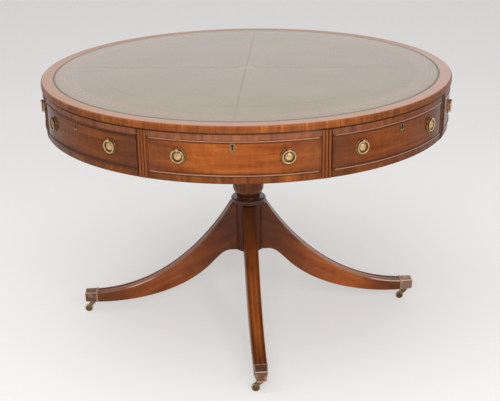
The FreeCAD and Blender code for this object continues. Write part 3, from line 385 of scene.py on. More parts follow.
# Toe caps and castors: cast brass boxes over the toes, and below them forked horns that swivel on their pins and
# hold turned brass wheels. The lacquer is long gone, so they are brown, and bright only where they rub. The caps'
# edges are also painted pale as glints, and the right cap is painted paler as lit.
def browned_brass():
    """Brass that has browned in patches, with dirt over it and fine scratches."""
    dirt, dirt_share = (0.035, 0.022, 0.012, 1.0), 0.8
    scratch_size, scratch_dulls, brown_dulls = (0.004, 0.0006, 0.0006), 0.2, 0.22
    tree, given, made = shader_group(
        "browned brass",
        {"Vector": "Vector", "Patch": "Float", "Brown From": "Float", "Brown To": "Float", "Wear And Highlight": "Float",
         "Dirty": "Float", "Dullness": "Float", "Bright": "Color", "Brown": "Color"},
        {"Color": "Color", "Roughness": "Float", "Height": "Float"})
    across = calc(tree, "DIVIDE", 1.0, given["Patch"])
    patches = noise(tree, moved(tree, "MULTIPLY", given["Vector"], joined(tree, across, across, across)), 4.0)
    spots = fade(tree, patches, given["Brown From"], given["Brown To"])
    brownness = most(tree, without(tree, spots, given["Wear And Highlight"]), given["Dirty"])
    scratches = cloud(tree, given["Vector"], scratch_size)
    colour = mixed(tree, brownness, given["Bright"], given["Brown"])
    colour = mixed(tree, times(tree, given["Dirty"], dirt_share), colour, dirt)
    scratched = calc(tree, "MULTIPLY_ADD", scratches, scratch_dulls, given["Dullness"])
    tree.links.new(colour, made["Color"])
    tree.links.new(calc(tree, "MULTIPLY_ADD", brownness, brown_dulls, scratched), made["Roughness"])
    tree.links.new(scratches, made["Height"])
    return tree


BROWNED_BRASS = browned_brass()
SCRATCH_DEPTH = 0.00003


def worn_brass(name, bright, brown, wear, browned, patch, metal=1.0, dullness=0.16):
    """Brass that has browned in patches of a given size, over a range of the noise. wear gives where it is rubbed
    bright and where dirty."""
    material, tree, shader, place = material_with(name, metallic=metal)
    rubbed, dirty = wear(tree, place)
    brass = grouped(tree, BROWNED_BRASS, {
        "Vector": place, "Patch": patch, "Brown From": browned[0], "Brown To": browned[1], "Wear And Highlight": rubbed,
        "Dirty": dirty, "Dullness": dullness, "Bright": bright, "Brown": brown})
    tree.links.new(brass["Color"], shader.inputs["Base Color"])
    tree.links.new(brass["Roughness"], shader.inputs["Roughness"])
    raise_surface(tree, shader, brass["Height"], SCRATCH_DEPTH)
    return material


def cap_wear(tree, place):
    """Toe caps are rubbed along the level edges of their noses, and less along their sides and mouths. The rubbed
    edges are also painted pale as glints. The right cap carries a stronger painted glint along its side edges, and
    is painted a little paler all over as lit."""
    end, low, top, half, mouth = 0.510, 0.040, 0.071, 0.017, 0.476
    near, far, right_range = 0.001, 0.003, (0.4, 0.45)
    nose_rub_and_glint, side_rub_and_glint, mouth_rub, right_light = 0.85, 0.45, 0.42, 0.22
    x, y, z = put(tree, "SeparateXYZ", {0: turned_about(tree, place, 0, leg_turn("right"))}).outputs
    x, y = calc(tree, "ABSOLUTE", x), calc(tree, "ABSOLUTE", y)
    along, aside = most(tree, x, y), calc(tree, "MINIMUM", x, y)
    ended, topped = fade(tree, along, end - far, end - near), fade(tree, z, top - far, top - near)
    sided = fade(tree, aside, half - far, half - near)
    nosed = times(tree, ended, most(tree, topped, fade(tree, z, low + far, low + near)))
    mouthed = fade(tree, along, mouth + near, mouth - near)
    # Painted light: the right cap is painted paler, with stronger painted glints along its side edges.
    right = fade(tree, axis(tree, place, "X"), *right_range)
    sides = times(tree, topped, sided, between(tree, right, side_rub_and_glint, 1.0))
    rubbed = most(tree, times(tree, nosed, nose_rub_and_glint), sides, times(tree, mouthed, mouth_rub),
                  times(tree, right, right_light))
    return rubbed, 0.0


def wheel_wear(centre):
    """A wheel is rolled bright on its tread, and its dished faces are dirty."""
    tread, dish, dish_dirt = (0.0100, 0.0110), (0.0098, 0.0085), 0.75

    def wear(tree, place):
        off = put(tree, "VectorMath", {0: place, 1: centre}, operation="DISTANCE").outputs["Value"]
        return fade(tree, off, *tread), times(tree, fade(tree, off, *dish), dish_dirt)
    return wear


def horn_wear(tree, place):
    """Nothing rubs a horn, and dirt lies low on it."""
    high, low, dirt = 0.04, 0.01, 0.5
    return 0.0, times(tree, fade(tree, axis(tree, place, "Z"), high, low), dirt)


# The caps' bright colour is pale, so that rubbed edges also read as painted glints.
CAP_BRASS_AND_GLINT, BROWN_CAP = (0.78, 0.52, 0.37, 1.0), (0.18, 0.086, 0.05, 1.0)
BRIGHT_HORN, BROWN_HORN = (0.40, 0.29, 0.15, 1.0), (0.16, 0.10, 0.05, 1.0)
BRIGHT_WHEEL, BROWN_WHEEL = (0.48, 0.36, 0.20, 1.0), (0.24, 0.16, 0.08, 1.0)
cap_brass = worn_brass(
    "browned cap brass", CAP_BRASS_AND_GLINT, BROWN_CAP, cap_wear, browned=(0.1, 0.5), patch=0.02, metal=0.6)
dress(cap_brass, "toe_caps")
horn_brass = worn_brass("browned horn brass", BRIGHT_HORN, BROWN_HORN, horn_wear, browned=(0.3, 0.6), patch=0.01)
for leg in LEGS:
    wheel_centre = sum(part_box("castor_wheel_" + leg), Vector()) / 2
    wheel_brass = worn_brass(
        "rolled brass " + leg, BRIGHT_WHEEL, BROWN_WHEEL, wheel_wear(wheel_centre), browned=(0.35, 0.65),
        patch=0.008)
    dress(wheel_brass, "castor_wheel_" + leg)
    dress(horn_brass, "castor_fork_" + leg)


# Carcase: the drum's floor, the crossed partitions, the runners and kickers for the drawers, the hub and the
# core of the top, all planed pine left bare. The pieces are glued, housed and nailed.
PINE = {"Dark": (0.30, 0.16, 0.07, 1.0), "Middle": (0.44, 0.27, 0.13, 1.0), "Light": (0.55, 0.37, 0.20, 1.0)}


def dusty_wood():
    """Dust that lies in patches on bare wood."""
    dirt, dust_size, dust_share = (0.16, 0.11, 0.07, 1.0), 0.06, 0.35
    dust_range, dullness = (0.45, 0.75), (0.62, 0.72)
    tree, given, made = shader_group(
        "dusty wood", {"Vector": "Vector", "Color": "Color"}, {"Color": "Color", "Roughness": "Float"})
    dust = fade(tree, cloud(tree, given["Vector"], dust_size, 4.0), *dust_range)
    tree.links.new(mixed(tree, times(tree, dust, dust_share), given["Color"], dirt), made["Color"])
    tree.links.new(between(tree, dust, *dullness), made["Roughness"])
    return tree


DUSTY_WOOD = dusty_wood()


def bare_wood(name, colours, stripe, turn=0.0):
    """Bare planed wood. The grain runs along each board, which is told from the way that its face points."""
    figure, grain_depth, steep = 0.1, 0.0001, 0.7
    material, tree, shader, place = material_with(name, ior=1.4)
    local = turned_about(tree, place, 0, turn)
    way = turned_about(tree, put(tree, "TexCoord").outputs["Normal"], 0, turn)
    x, y, z = put(tree, "SeparateXYZ", {0: local}).outputs
    sideways = calc(tree, "GREATER_THAN", calc(tree, "ABSOLUTE", axis(tree, way, "X")), steep)
    swapped = joined(tree, y, x, z)
    vector = put(tree, "Mix", {0: sideways, 4: local, 5: swapped}, data_type="VECTOR").outputs[1]
    grain = grouped(tree, GRAIN, {"Vector": vector, "Stripe": stripe, "Figure": figure, **colours})
    dusty = grouped(tree, DUSTY_WOOD, {"Vector": place, "Color": grain["Color"]})
    tree.links.new(dusty["Color"], shader.inputs["Base Color"])
    tree.links.new(dusty["Roughness"], shader.inputs["Roughness"])
    raise_surface(tree, shader, grain["Height"], grain_depth)
    return material


dress(bare_wood("bare pine", PINE, stripe=0.008), "drum_floor", "partition_boards", "drawer_runners",
      "drawer_kickers", "hub_block", "top_board")


# Rails: two rings built up in short lengths, veneered across with mahogany whose grain stands upright.
# The leaves differ in tone from one to the next, painted shade with some wax lies in the lines where the rings meet
# the fronts, and the sides are painted darker as shade.
BAYS = 8
DRUM_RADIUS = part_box("upper_rail")[1].x
BAY_TURN = math.tau / BAYS
LEVEL_RISE = (0.85, 0.97)


def hypotenuse(tree, x, y):
    """The long side of a right triangle."""
    return calc(tree, "SQRT", calc(tree, "ADD", times(tree, x, x), times(tree, y, y)))


def round_the_drum():
    """Where a point lies on the drum: round it from the front, out from its axis, and within its bay."""
    tree, given, made = shader_group(
        "round the drum", {"Vector": "Vector"},
        {"Arc": "Float", "Radius": "Float", "Height": "Float", "Bay": "Float", "Bay Arc": "Float"})
    x, y, z = put(tree, "SeparateXYZ", {0: given["Vector"]}).outputs
    angle = calc(tree, "ARCTAN2", x, times(tree, y, -1.0))
    nearest = calc(tree, "ROUND", calc(tree, "DIVIDE", angle, BAY_TURN))
    off = calc(tree, "SUBTRACT", angle, times(tree, nearest, BAY_TURN))
    tree.links.new(times(tree, angle, DRUM_RADIUS), made["Arc"])
    tree.links.new(hypotenuse(tree, x, y), made["Radius"])
    tree.links.new(z, made["Height"])
    tree.links.new(calc(tree, "FLOORED_MODULO", nearest, float(BAYS)), made["Bay"])
    tree.links.new(times(tree, off, DRUM_RADIUS), made["Bay Arc"])
    return tree


DRUM = round_the_drum()


def on_drum(tree, place):
    """The sockets of the drum's own coordinates at a place."""
    return grouped(tree, DRUM, {"Vector": place})


def chance(tree, value):
    """A random number from 0 to 1 for each whole value."""
    return put(tree, "TexWhiteNoise", {"W": value}, noise_dimensions="1D").outputs["Value"]


def grey(tree, level):
    """A grey of that level."""
    return put(tree, "CombineColor", {0: level, 1: level, 2: level}).outputs[0]


def crossband_layout(leaf_width, shaded_levels, tones, by_stiles=0.0, sunned_and_sheen=0.0):
    """Leaves of veneer side by side round a ring, with their grain up its face and out across its top. Painted shade
    with some wax lies at some levels, wax lies beside the stiles, the top is painted paler, partly as sun-faded wood
    and partly as painted sky reflection, and the sides are painted darker as shade."""
    bay_half = DRUM_RADIUS * BAY_TURN / 2
    line_half, line_fade, line_shade = 0.0005, 0.003, 0.75
    stile_edge, stile_fade, seam_range, seam_grime = 0.012, 0.055, (0.493, 0.499), 0.5
    side_range, side_shade_tone, leaf_shift = (0.15, 0.42), 0.7, 3.0
    patch_size, patch_range, patch_rub = 0.03, (0.35, 0.8), 0.5

    def lay_out(tree, place):
        at = on_drum(tree, place)
        count = calc(tree, "DIVIDE", at["Arc"], leaf_width)
        leaf = chance(tree, calc(tree, "FLOOR", count))
        along = calc(tree, "SUBTRACT", at["Radius"], at["Height"])
        vector = joined(tree, along, at["Arc"], times(tree, leaf, leaf_shift))
        patches = fade(tree, cloud(tree, place, patch_size, 3.0), *patch_range)
        seam = fade(tree, apart(tree, calc(tree, "FRACT", count), 0.5), *seam_range)
        stile = fade(tree, calc(tree, "ABSOLUTE", at["Bay Arc"]), bay_half - stile_fade, bay_half - stile_edge)
        grime_and_shade = most(tree, times(tree, seam, seam_grime),
                     times(tree, stile, between(tree, patches, by_stiles / 2, by_stiles)))
        # Painted shade, with some wax, along lines at the given levels.
        for level in shaded_levels:
            line = fade(tree, apart(tree, at["Height"], level), line_fade, line_half)
            grime_and_shade = most(tree, grime_and_shade, times(tree, line, line_shade))
        # Painted paler top, partly as sun-faded wood and partly as painted sky reflection, besides rubbed patches.
        rubbed = most(tree, times(tree, upward(tree, *LEVEL_RISE), sunned_and_sheen), times(tree, patches, patch_rub))
        # Painted shade: the ring is painted darker round the sides.
        aside = fade(tree, calc(tree, "ABSOLUTE", axis(tree, place, "X")), *side_range)
        tone = times(tree, between(tree, leaf, *tones), between(tree, aside, 1.0, side_shade_tone))
        return vector, grime_and_shade, rubbed, grey(tree, tone)
    return lay_out


def in_front(tree, place):
    """The front of the upper rail, which shines more than its sides."""
    side, front = -0.4, -0.54
    return fade(tree, axis(tree, place, "Y"), side, front)


RAIL_LEAF = 0.06
STRIPED = {
    "Dark": (0.13, 0.029, 0.007, 1.0), "Middle": (0.265, 0.066, 0.009, 1.0), "Light": (0.42, 0.125, 0.018, 1.0)}
for rail, tones, shaded_edges, polish_ior, glossy in (
        ("upper_rail", (0.93, 1.14), (1,), 1.5, in_front), ("lower_rail", (0.70, 0.96), (0, 1), 1.4, None)):
    layout = crossband_layout(RAIL_LEAF, [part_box(rail)[edge].z for edge in shaded_edges], tones, by_stiles=0.75)
    dress(mahogany("crossbanded " + rail, layout, stripe=0.02, figure=0.15, polish=0.3, polish_ior=polish_ior,
                   colours=STRIPED, glossy=glossy), rail)


# Stiles: eight short uprights between the fronts, each worked with three reeds, of upright mahogany.
# They are notched over both rails and glued. The quirks beside the reeds are painted dark, as wax and as shade.
def stile_layout(tree, place):
    """Upright grain. The quirks lie deeper than the reeds and are painted dark, as grime and as shade, the stiles
    round the sides are painted darker as shade, and the crests of the reeds are paler, as wear and as painted
    highlight.
    """
    quirk, reed, tint = DRUM_RADIUS - 0.0025, DRUM_RADIUS - 0.0006, (0.8, 0.76, 0.74, 1.0)
    crest_rub_and_highlight, side_shade, side_range = 0.9, 0.9, (-0.47, -0.26)
    at = on_drum(tree, place)
    vector = joined(tree, at["Height"], at["Arc"], 0.0)
    # Painted highlight on the reed crests and painted shade in the quirks and round the sides.
    crest = times(tree, fade(tree, at["Radius"], reed, DRUM_RADIUS), crest_rub_and_highlight)
    round_side = times(tree, fade(tree, axis(tree, place, "Y"), *side_range), side_shade)
    return vector, most(tree, fade(tree, at["Radius"], reed, quirk), round_side), crest, tint


stile_finish = mahogany("reeded mahogany", stile_layout, stripe=0.008, figure=0.15, polish=0.3, polish_ior=1.4)
dress(stile_finish, "reeded_stiles")


# Fronts: eight bowed boards veneered with figured mahogany whose grain runs round the drum, each with a thin
# cockbead let in round its edge. Four are drawer fronts and four are fixed, and little shows which.
OPENING_LOW, OPENING_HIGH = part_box("lower_rail")[1].z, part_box("upper_rail")[0].z
FRONT_HALF = DRUM_RADIUS * math.asin(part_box("drawer_front_front")[1].x / DRUM_RADIUS)
ring_low, ring_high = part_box("pull_ring_drawer_front_right")
PULL_ARC = DRUM_RADIUS * math.atan2((ring_low.x + ring_high.x) / 2, -(ring_low.y + ring_high.y) / 2)
PULL_HEIGHT = (ring_low.z + ring_high.z) / 2
ROSE_RADIUS = 0.019


def from_pull(tree, at):
    """How far a point lies from the axis of the nearer pull of its bay."""
    along = calc(tree, "SUBTRACT", calc(tree, "ABSOLUTE", at["Bay Arc"]), PULL_ARC)
    return hypotenuse(tree, along, calc(tree, "SUBTRACT", at["Height"], PULL_HEIGHT))


def on_bead(tree, place):
    """The level runs of a cockbead where it stands proud of its front, which carry a painted highlight and a full
    gloss, both weaker on the fronts at the left.
    """
    foot, crest, corner_start, corner_end = 0.0003, 0.0012, 0.004, 0.008
    left_range, left_share = (-0.2, -0.24), 0.2
    at = on_drum(tree, place)
    proud = fade(tree, at["Radius"], DRUM_RADIUS + foot, DRUM_RADIUS + crest)
    aside = calc(tree, "ABSOLUTE", at["Bay Arc"])
    level = fade(tree, aside, FRONT_HALF - corner_start, FRONT_HALF - corner_end)
    left = fade(tree, axis(tree, place, "X"), *left_range)
    return times(tree, proud, level, between(tree, left, 1.0, left_share))


def on_gloss(tree, place):
    """Where a front shines: its beads, and its ends, which no hand touches, most of all round the sides."""
    end_length, side_range, end_gloss = 0.1, (0.44, 0.5), (0.45, 0.75)
    aside = calc(tree, "ABSOLUTE", on_drum(tree, place)["Bay Arc"])
    round_side = fade(tree, calc(tree, "ABSOLUTE", axis(tree, place, "X")), *side_range)
    ends = fade(tree, aside, FRONT_HALF - end_length, FRONT_HALF)
    ends = times(tree, ends, between(tree, round_side, *end_gloss))
    return most(tree, on_bead(tree, place), ends)


def front_layout(tree, place):
    """Grain round the drum, a leaf of veneer for each bay, painted shade along the top and bottom edges and in the
    keyholes, a painted shadow round the pulls, and old wax with painted shade at the ends. The front bay is painted
    the lightest as lit, the others are painted paler towards the right as lit from there, and the beads carry a
    painted highlight."""
    end_length, end_wax_and_shade, edge_shade, leaf_shift = 0.13, (0.45, 0.8), 0.95, 7.0
    upper_start, upper_end, lower_start, lower_end = 0.0095, 0.0055, 0.014, 0.004
    pull_spread, pull_shadow, bead_highlight, tones = 0.007, 0.6, 1.1, (0.76, 1.42)
    keyhole_half, keyhole_rise, keyhole_depth, keyhole_drop = 0.004, 0.01, 0.0012, 0.016
    patch_size, patch_range, light_range, light_share = 0.04, (0.3, 0.75), (-0.16, 0.08), (0.8, 1.04)
    pale_range, side_range, pale_share = (-0.3, 0.3), (0.3, 0.5), (0.35, 0.1)
    at = on_drum(tree, place)
    x, aside = axis(tree, place, "X"), calc(tree, "ABSOLUTE", at["Bay Arc"])
    vector = joined(tree, at["Bay Arc"], at["Height"], times(tree, chance(tree, at["Bay"]), leaf_shift))
    patches = fade(tree, cloud(tree, place, patch_size, 3.0), *patch_range)
    # Old wax with painted shade at the ends of each front.
    ends = times(tree, fade(tree, aside, FRONT_HALF - end_length, FRONT_HALF), between(tree, patches, *end_wax_and_shade))
    # Painted shade along the top and bottom edges, below the beads.
    above = fade(tree, at["Height"], OPENING_HIGH - upper_start, OPENING_HIGH - upper_end)
    below = fade(tree, at["Height"], OPENING_LOW + lower_start, OPENING_LOW + lower_end)
    # Painted shade inside the keyhole.
    keyhole_shade = times(
        tree, calc(tree, "LESS_THAN", aside, keyhole_half),
        calc(tree, "LESS_THAN", at["Radius"], DRUM_RADIUS - keyhole_depth),
        calc(tree, "LESS_THAN", apart(tree, at["Height"], OPENING_HIGH - keyhole_drop), keyhole_rise))
    # Painted shadow round each pull.
    pull_shadow_ring = times(tree, fade(tree, from_pull(tree, at), ROSE_RADIUS + pull_spread, ROSE_RADIUS), pull_shadow)
    grime_and_shade = most(tree, times(tree, most(tree, above, below), edge_shade), ends, keyhole_shade, pull_shadow_ring)
    # Painted highlight on the level runs of the beads.
    bead = on_bead(tree, place)
    # Painted light: the front bay is painted lightest, and the fronts are painted paler towards the right.
    across = fade(tree, at["Bay Arc"], *light_range)
    lit_front_bay = times(tree, calc(tree, "LESS_THAN", at["Bay"], 0.5), between(tree, across, *light_share))
    lit_right = times(tree, fade(tree, x, *pale_range), between(tree, fade(tree, x, *side_range), *pale_share))
    tone = between(tree, most(tree, lit_front_bay, lit_right), *tones)
    return vector, without(tree, grime_and_shade, bead), times(tree, bead, bead_highlight), grey(tree, tone)


# A pale colour for the beads' painted highlight.
BEAD_HIGHLIGHT = (0.58, 0.34, 0.22, 1.0)
front_finish = mahogany(
    "figured mahogany", front_layout, stripe=0.016, figure=0.25, polish=0.28, polish_ior=1.4, glossy=on_gloss,
    rubbed_to=BEAD_HIGHLIGHT)
dress(front_finish, "false_fronts", *("drawer_front_" + side for side in LEGS))


# Top: the core is lipped with a broad band of mahogany in short leaves, so that its grain runs outwards on top
# and upright round the edge. The lip is rubbed on its corners and its top is painted paler, partly as sun-faded wood
# and partly as painted sky reflection. Painted shade lines its lower edge, and painted shade with some dirt lies
# along the leather.
LEATHER_LOW, LEATHER_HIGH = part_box("leather_quarters")
LIP_INNER, LEATHER_EDGE = LEATHER_HIGH.x, 0.5415
lip_low, lip_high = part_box("top_banding")
LIP_ROUND, LIP_ARRIS, LIP_FLAT_END = 0.006, 0.0015, 0.001
LIP_STEPS, ROUND_STEPS, SHARP_ANGLE = 240, 6, 40.0
LIP_LEAF = 0.085
RIBBON = {**STRIPED, "Dark": (0.17, 0.042, 0.010, 1.0), "Light": (0.46, 0.148, 0.027, 1.0)}


def lip_ring(mesh):
    """The lip's section, with a rebate for the leather and a round on its upper corner, swung about the axis."""
    flat_end = lip_high.x - LIP_ROUND - LIP_FLAT_END
    section = [(LIP_INNER, lip_low.z), (LIP_INNER, LEATHER_LOW.z), (LEATHER_EDGE, LEATHER_LOW.z),
               (LEATHER_EDGE, lip_high.z), (flat_end, lip_high.z), (lip_high.x, lip_high.z), (lip_high.x, lip_low.z)]
    corners = [mesh.verts.new((across, 0.0, height)) for across, height in section]
    mesh.faces.new(corners)
    upper_corner, lower_corner = corners[5:]
    for corner, size in ((upper_corner, LIP_ROUND), (lower_corner, LIP_ARRIS)):
        bmesh.ops.bevel(mesh, geom=[corner], offset=size, segments=ROUND_STEPS, profile=0.5, affect="VERTICES",
                        material=-1)
    bmesh.ops.delete(mesh, geom=mesh.faces[:], context="FACES_ONLY")
    bmesh.ops.spin(mesh, geom=mesh.verts[:] + mesh.edges[:], axis=(0, 0, 1), angle=math.tau, steps=LIP_STEPS,
                   use_merge=True)
    bmesh.ops.recalc_face_normals(mesh, faces=mesh.faces)
    for face in mesh.faces:
        face.smooth = True


def on_lip_top(tree, place):
    """The top of the lip, which is duller at the back and the left."""
    back_range, back_gloss, left_range, left_gloss = (0.0, 0.5), 0.4, (-0.2, -0.5), 0.7
    back = between(tree, fade(tree, axis(tree, place, "Y"), *back_range), 1.0, back_gloss)
    left = between(tree, fade(tree, axis(tree, place, "X"), *left_range), 1.0, left_gloss)
    return times(tree, upward(tree, *LEVEL_RISE), back, left)


def finished(name, mesh, material, body):
    """A piece from its finished mesh, with its material, which rides on a body."""
    piece = bpy.data.objects.new(name, bpy.data.meshes.new(name))
    mesh.to_mesh(piece.data)
    mesh.free()
    piece.data.materials.append(material)
    bpy.context.scene.collection.objects.link(piece)
    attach(piece, body)
    return piece


# The lip's top is painted paler as sun-faded wood and painted sky reflection, with painted shade along its lower
# edge.
lip_finish = mahogany(
    "crossbanded lip", crossband_layout(LIP_LEAF, [lip_low.z], (0.97, 1.19), sunned_and_sheen=2.0), stripe=0.012,
    figure=0.15, polish=0.14, polish_ior=1.75, colours=RIBBON, glossy=on_lip_top)
lip_mesh = bmesh.new()
lip_ring(lip_mesh)
lip = finished("top_lip", lip_mesh, lip_finish, "drum")
lip.data.set_sharp_from_angle(angle=math.radians(SHARP_ANGLE))
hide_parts("top_banding")


# Writing surface: four quarters of hide pasted down on the core, skived and butted along two seams. The hide is
# olive, polished by use, and tooled with lines, a border and a middle ring that have lost most of their gold.
BORDER, BORDER_HALF = 0.4985, 0.0105
MIDDLE_RING, INNER_LINE = 0.022, 0.41
GILT_LINES = (BORDER - BORDER_HALF, BORDER + BORDER_HALF, 0.52)
TOOLED_LINES = (MIDDLE_RING, INNER_LINE, *GILT_LINES)
LINE_HALF, LINE_DEPTH = 0.0011, 0.00013
SEAM_GAP, SEAM_ROUND = 0.0001, 0.00025
QUARTERS, QUARTER_STEPS = 4, 60


def leather_quarter(mesh, turn):
    """One quarter of the hide: its section with the tooled lines pressed in, swung through a right angle."""
    top, bottom = LEATHER_HIGH.z, LEATHER_LOW.z
    reach = LEATHER_EDGE - SEAM_GAP

    def on_top(edge):
        return all(corner.co.z > bottom for corner in edge.verts)

    section = [(SEAM_GAP, bottom), (SEAM_GAP, top)]
    for line in TOOLED_LINES:
        section += [(line - LINE_HALF, top), (line, top - LINE_DEPTH), (line + LINE_HALF, top)]
    section += [(reach - SEAM_ROUND, top), (reach, top - SEAM_ROUND / 2), (reach, bottom)]
    corners = [mesh.verts.new((across, 0.0, height)) for across, height in section]
    profile = mesh.faces.new(corners)
    start = [edge for edge in profile.edges if on_top(edge)]
    swung = bmesh.ops.spin(
        mesh, geom=[profile, *profile.edges, *corners], axis=(0, 0, 1), angle=math.pi / 2, steps=QUARTER_STEPS)
    finish = [part for part in swung["geom_last"] if isinstance(part, bmesh.types.BMEdge) and on_top(part)]
    bmesh.ops.bevel(mesh, geom=start + finish, offset=SEAM_ROUND, segments=2, profile=0.5, affect="EDGES",
                    material=-1)
    bmesh.ops.translate(mesh, verts=mesh.verts, vec=(SEAM_GAP / 2, SEAM_GAP / 2, 0.0))
    bmesh.ops.rotate(mesh, verts=mesh.verts, cent=(0, 0, 0), matrix=Matrix.Rotation(turn, 3, "Z"))
    bmesh.ops.recalc_face_normals(mesh, faces=mesh.faces)


def leather_finish():
    """Old polished hide with its tooling. Dirt lies along the seams and the inner line, and painted shade with some
    dirt along the lip.
    """
    olive, faded, gilt = (0.20, 0.146, 0.082, 1.0), (0.225, 0.163, 0.098, 1.0), (0.52, 0.31, 0.15, 1.0)
    pinked, dirt = (0.26, 0.165, 0.115, 1.0), (0.028, 0.022, 0.018, 1.0)
    motifs, motif_slope, motif_outer, motif_inner = 120, 2.2, (0.95, 0.75), (0.35, 0.5)
    stain_size, stain_range, wear_size, wear_range = 0.16, (0.3, 0.7), 0.01, (0.4, 0.65)
    pink_share, gilt_share, dirt_share, inner_dirt, lip_shade = (0.3, 0.5), (0.08, 0.3), 0.85, 0.12, 0.8
    seam_width, cross_width, inner_width = (0.0045, 0.0015), (0.0055, 0.0015), (0.003, 0.001)
    lip_start, lip_end = LEATHER_EDGE - 0.009, LEATHER_EDGE - 0.003
    front_range, front_share, seam_share, seam_end, seam_full = (-0.4, -0.15), 0.25, (0.3, 0.45), 0.02, 0.06
    ring_soft, ring_clear, line_soft = 0.001, 0.004, 1.6
    dullness, lip_coat, pores, pore_edge, pore_depth = (0.4, 0.44), 0.3, 900.0, 0.2, 0.00001
    material, tree, shader, place = material_with(
        "olive hide", coat_roughness=0.12, coat_ior=1.5, specular_ior_level=0.2)
    x, y = put(tree, "SeparateXYZ", {0: place}).outputs[:2]
    reach = hypotenuse(tree, x, y)
    from_border = apart(tree, reach, BORDER)
    hide = mixed(tree, fade(tree, cloud(tree, place, stain_size), *stain_range), olive, faded)
    worn = fade(tree, cloud(tree, place, wear_size, 3.0), *wear_range)
    margin = fade(tree, from_border, BORDER_HALF * 3, BORDER_HALF)
    hide = mixed(tree, times(tree, margin, between(tree, worn, *pink_share)), hide, pinked)
    count = times(tree, calc(tree, "ARCTAN2", y, x), motifs / math.tau)
    beat = apart(tree, calc(tree, "FRACT", count), 0.5)
    lozenge = calc(tree, "MULTIPLY_ADD", beat, motif_slope, calc(tree, "DIVIDE", from_border, BORDER_HALF))
    stamped = times(tree, fade(tree, lozenge, *motif_outer), fade(tree, lozenge, *motif_inner))
    gilded = most(tree, stamped, fade(tree, reach, MIDDLE_RING + ring_soft, MIDDLE_RING - ring_soft))
    for line in GILT_LINES:
        gilded = most(tree, gilded, fade(tree, apart(tree, reach, line), LINE_HALF * line_soft, LINE_HALF))
    hide = mixed(tree, times(tree, gilded, between(tree, worn, *gilt_share)), hide, gilt)
    lengthways = fade(tree, calc(tree, "ABSOLUTE", x), *seam_width)
    lengthways = times(tree, lengthways, between(tree, fade(tree, y, *front_range), front_share, 1.0))
    crossways = fade(tree, calc(tree, "ABSOLUTE", y), *cross_width)
    seam = times(tree, most(tree, lengthways, crossways), fade(tree, reach, BORDER + seam_end, BORDER - seam_full),
                 between(tree, worn, *seam_share), fade(tree, reach, MIDDLE_RING, MIDDLE_RING + ring_clear))
    inner = fade(tree, apart(tree, reach, INNER_LINE), *inner_width)
    # Painted shade, with some dirt, along the lip.
    by_lip = fade(tree, reach, lip_start, lip_end)
    dark = most(tree, seam, times(tree, inner, inner_dirt), times(tree, by_lip, lip_shade))
    hide = mixed(tree, times(tree, dark, dirt_share), hide, dirt)
    cells = put(tree, "TexVoronoi", {"Vector": place, "Scale": pores}, feature="DISTANCE_TO_EDGE")
    tree.links.new(hide, shader.inputs["Base Color"])
    tree.links.new(between(tree, worn, *dullness), shader.inputs["Roughness"])
    tree.links.new(between(tree, by_lip, 1.0, lip_coat), shader.inputs["Coat Weight"])
    raise_surface(tree, shader, fade(tree, cells.outputs["Distance"], 0.0, pore_edge), pore_depth)
    return material


hide_finish = leather_finish()
for quarter in range(QUARTERS):
    hide_mesh = bmesh.new()
    leather_quarter(hide_mesh, quarter * math.tau / QUARTERS)
    leather = finished("leather_quarter_" + str(quarter + 1), hide_mesh, hide_finish, "drum")
    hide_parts("leather_quarters")


# Drawers: oak sides, back and bottom, the sides dovetailed into the front, the bottom slid into grooves.
# The oak is bare and has darkened in patches.
OAK = {"Dark": (0.24, 0.135, 0.06, 1.0), "Middle": (0.36, 0.22, 0.11, 1.0), "Light": (0.46, 0.31, 0.17, 1.0)}
for quarter, side in enumerate(LEGS):
    dress(bare_wood("bare oak " + side, OAK, stripe=0.006, turn=90.0 * quarter), "drawer_box_" + side)


# Fittings: turned brass roses with eye bolts, rings that hang from them, keyhole plates and locks.
# The brass is rubbed bright on the domes, the eyes and the rings, and brown in the hollows. The left pull at the
# left is painted browner as shade.
def shaded_left_pull(tree, at):
    """The left pull of the front at the left, painted browner as shade."""
    dirt = 0.45
    # Painted shade: the pull at the left end of the drum is browned by position.
    last_bay = calc(tree, "GREATER_THAN", at["Bay"], BAYS - 1.5)
    return times(tree, last_bay, calc(tree, "LESS_THAN", at["Bay Arc"], -PULL_ARC / 2), dirt)


def fitting_wear(tree, place):
    """The dome of a rose and its eye are rubbed. Dirt fills the hollow round the dome. The keyhole plates are dull,
    and those of the false fronts, which no key rubs, are brown but for two pale spots. The left pull at the left is
    painted browner as shade."""
    dome, dome_soft, rim, soft = 0.0105, 0.002, 0.0176, 0.0008
    eye_start, eye_end = DRUM_RADIUS + 0.0032, DRUM_RADIUS + 0.0042
    plate_height, plate_edge, spot_rise, spot_radius = OPENING_HIGH - 0.017, (0.012, 0.008), 0.006, 0.003
    hollow_dirt, plate_dirt, fixed_dirt = 0.75, 0.5, (0.28, -0.12)
    at = on_drum(tree, place)
    off = from_pull(tree, at)
    past_dome = fade(tree, off, dome, dome + soft)
    on_eye = times(tree, fade(tree, at["Radius"], eye_start, eye_end), past_dome)
    hollow = without(tree, times(tree, past_dome, fade(tree, off, rim + soft, rim)), on_eye)
    plate = fade(tree, calc(tree, "ABSOLUTE", at["Bay Arc"]), *plate_edge)
    fixed = calc(tree, "GREATER_THAN", calc(tree, "FLOORED_MODULO", at["Bay"], 2.0), 0.5)
    rise = apart(tree, at["Height"], plate_height)
    spot = fade(tree, apart(tree, rise, spot_rise), spot_radius, spot_radius / 3)
    dull = times(tree, plate, calc(tree, "MULTIPLY_ADD", fixed, between(tree, spot, *fixed_dirt), plate_dirt))
    rubbed = most(tree, fade(tree, off, dome, dome - dome_soft), on_eye)
    return rubbed, most(tree, times(tree, hollow, hollow_dirt), dull, shaded_left_pull(tree, at))


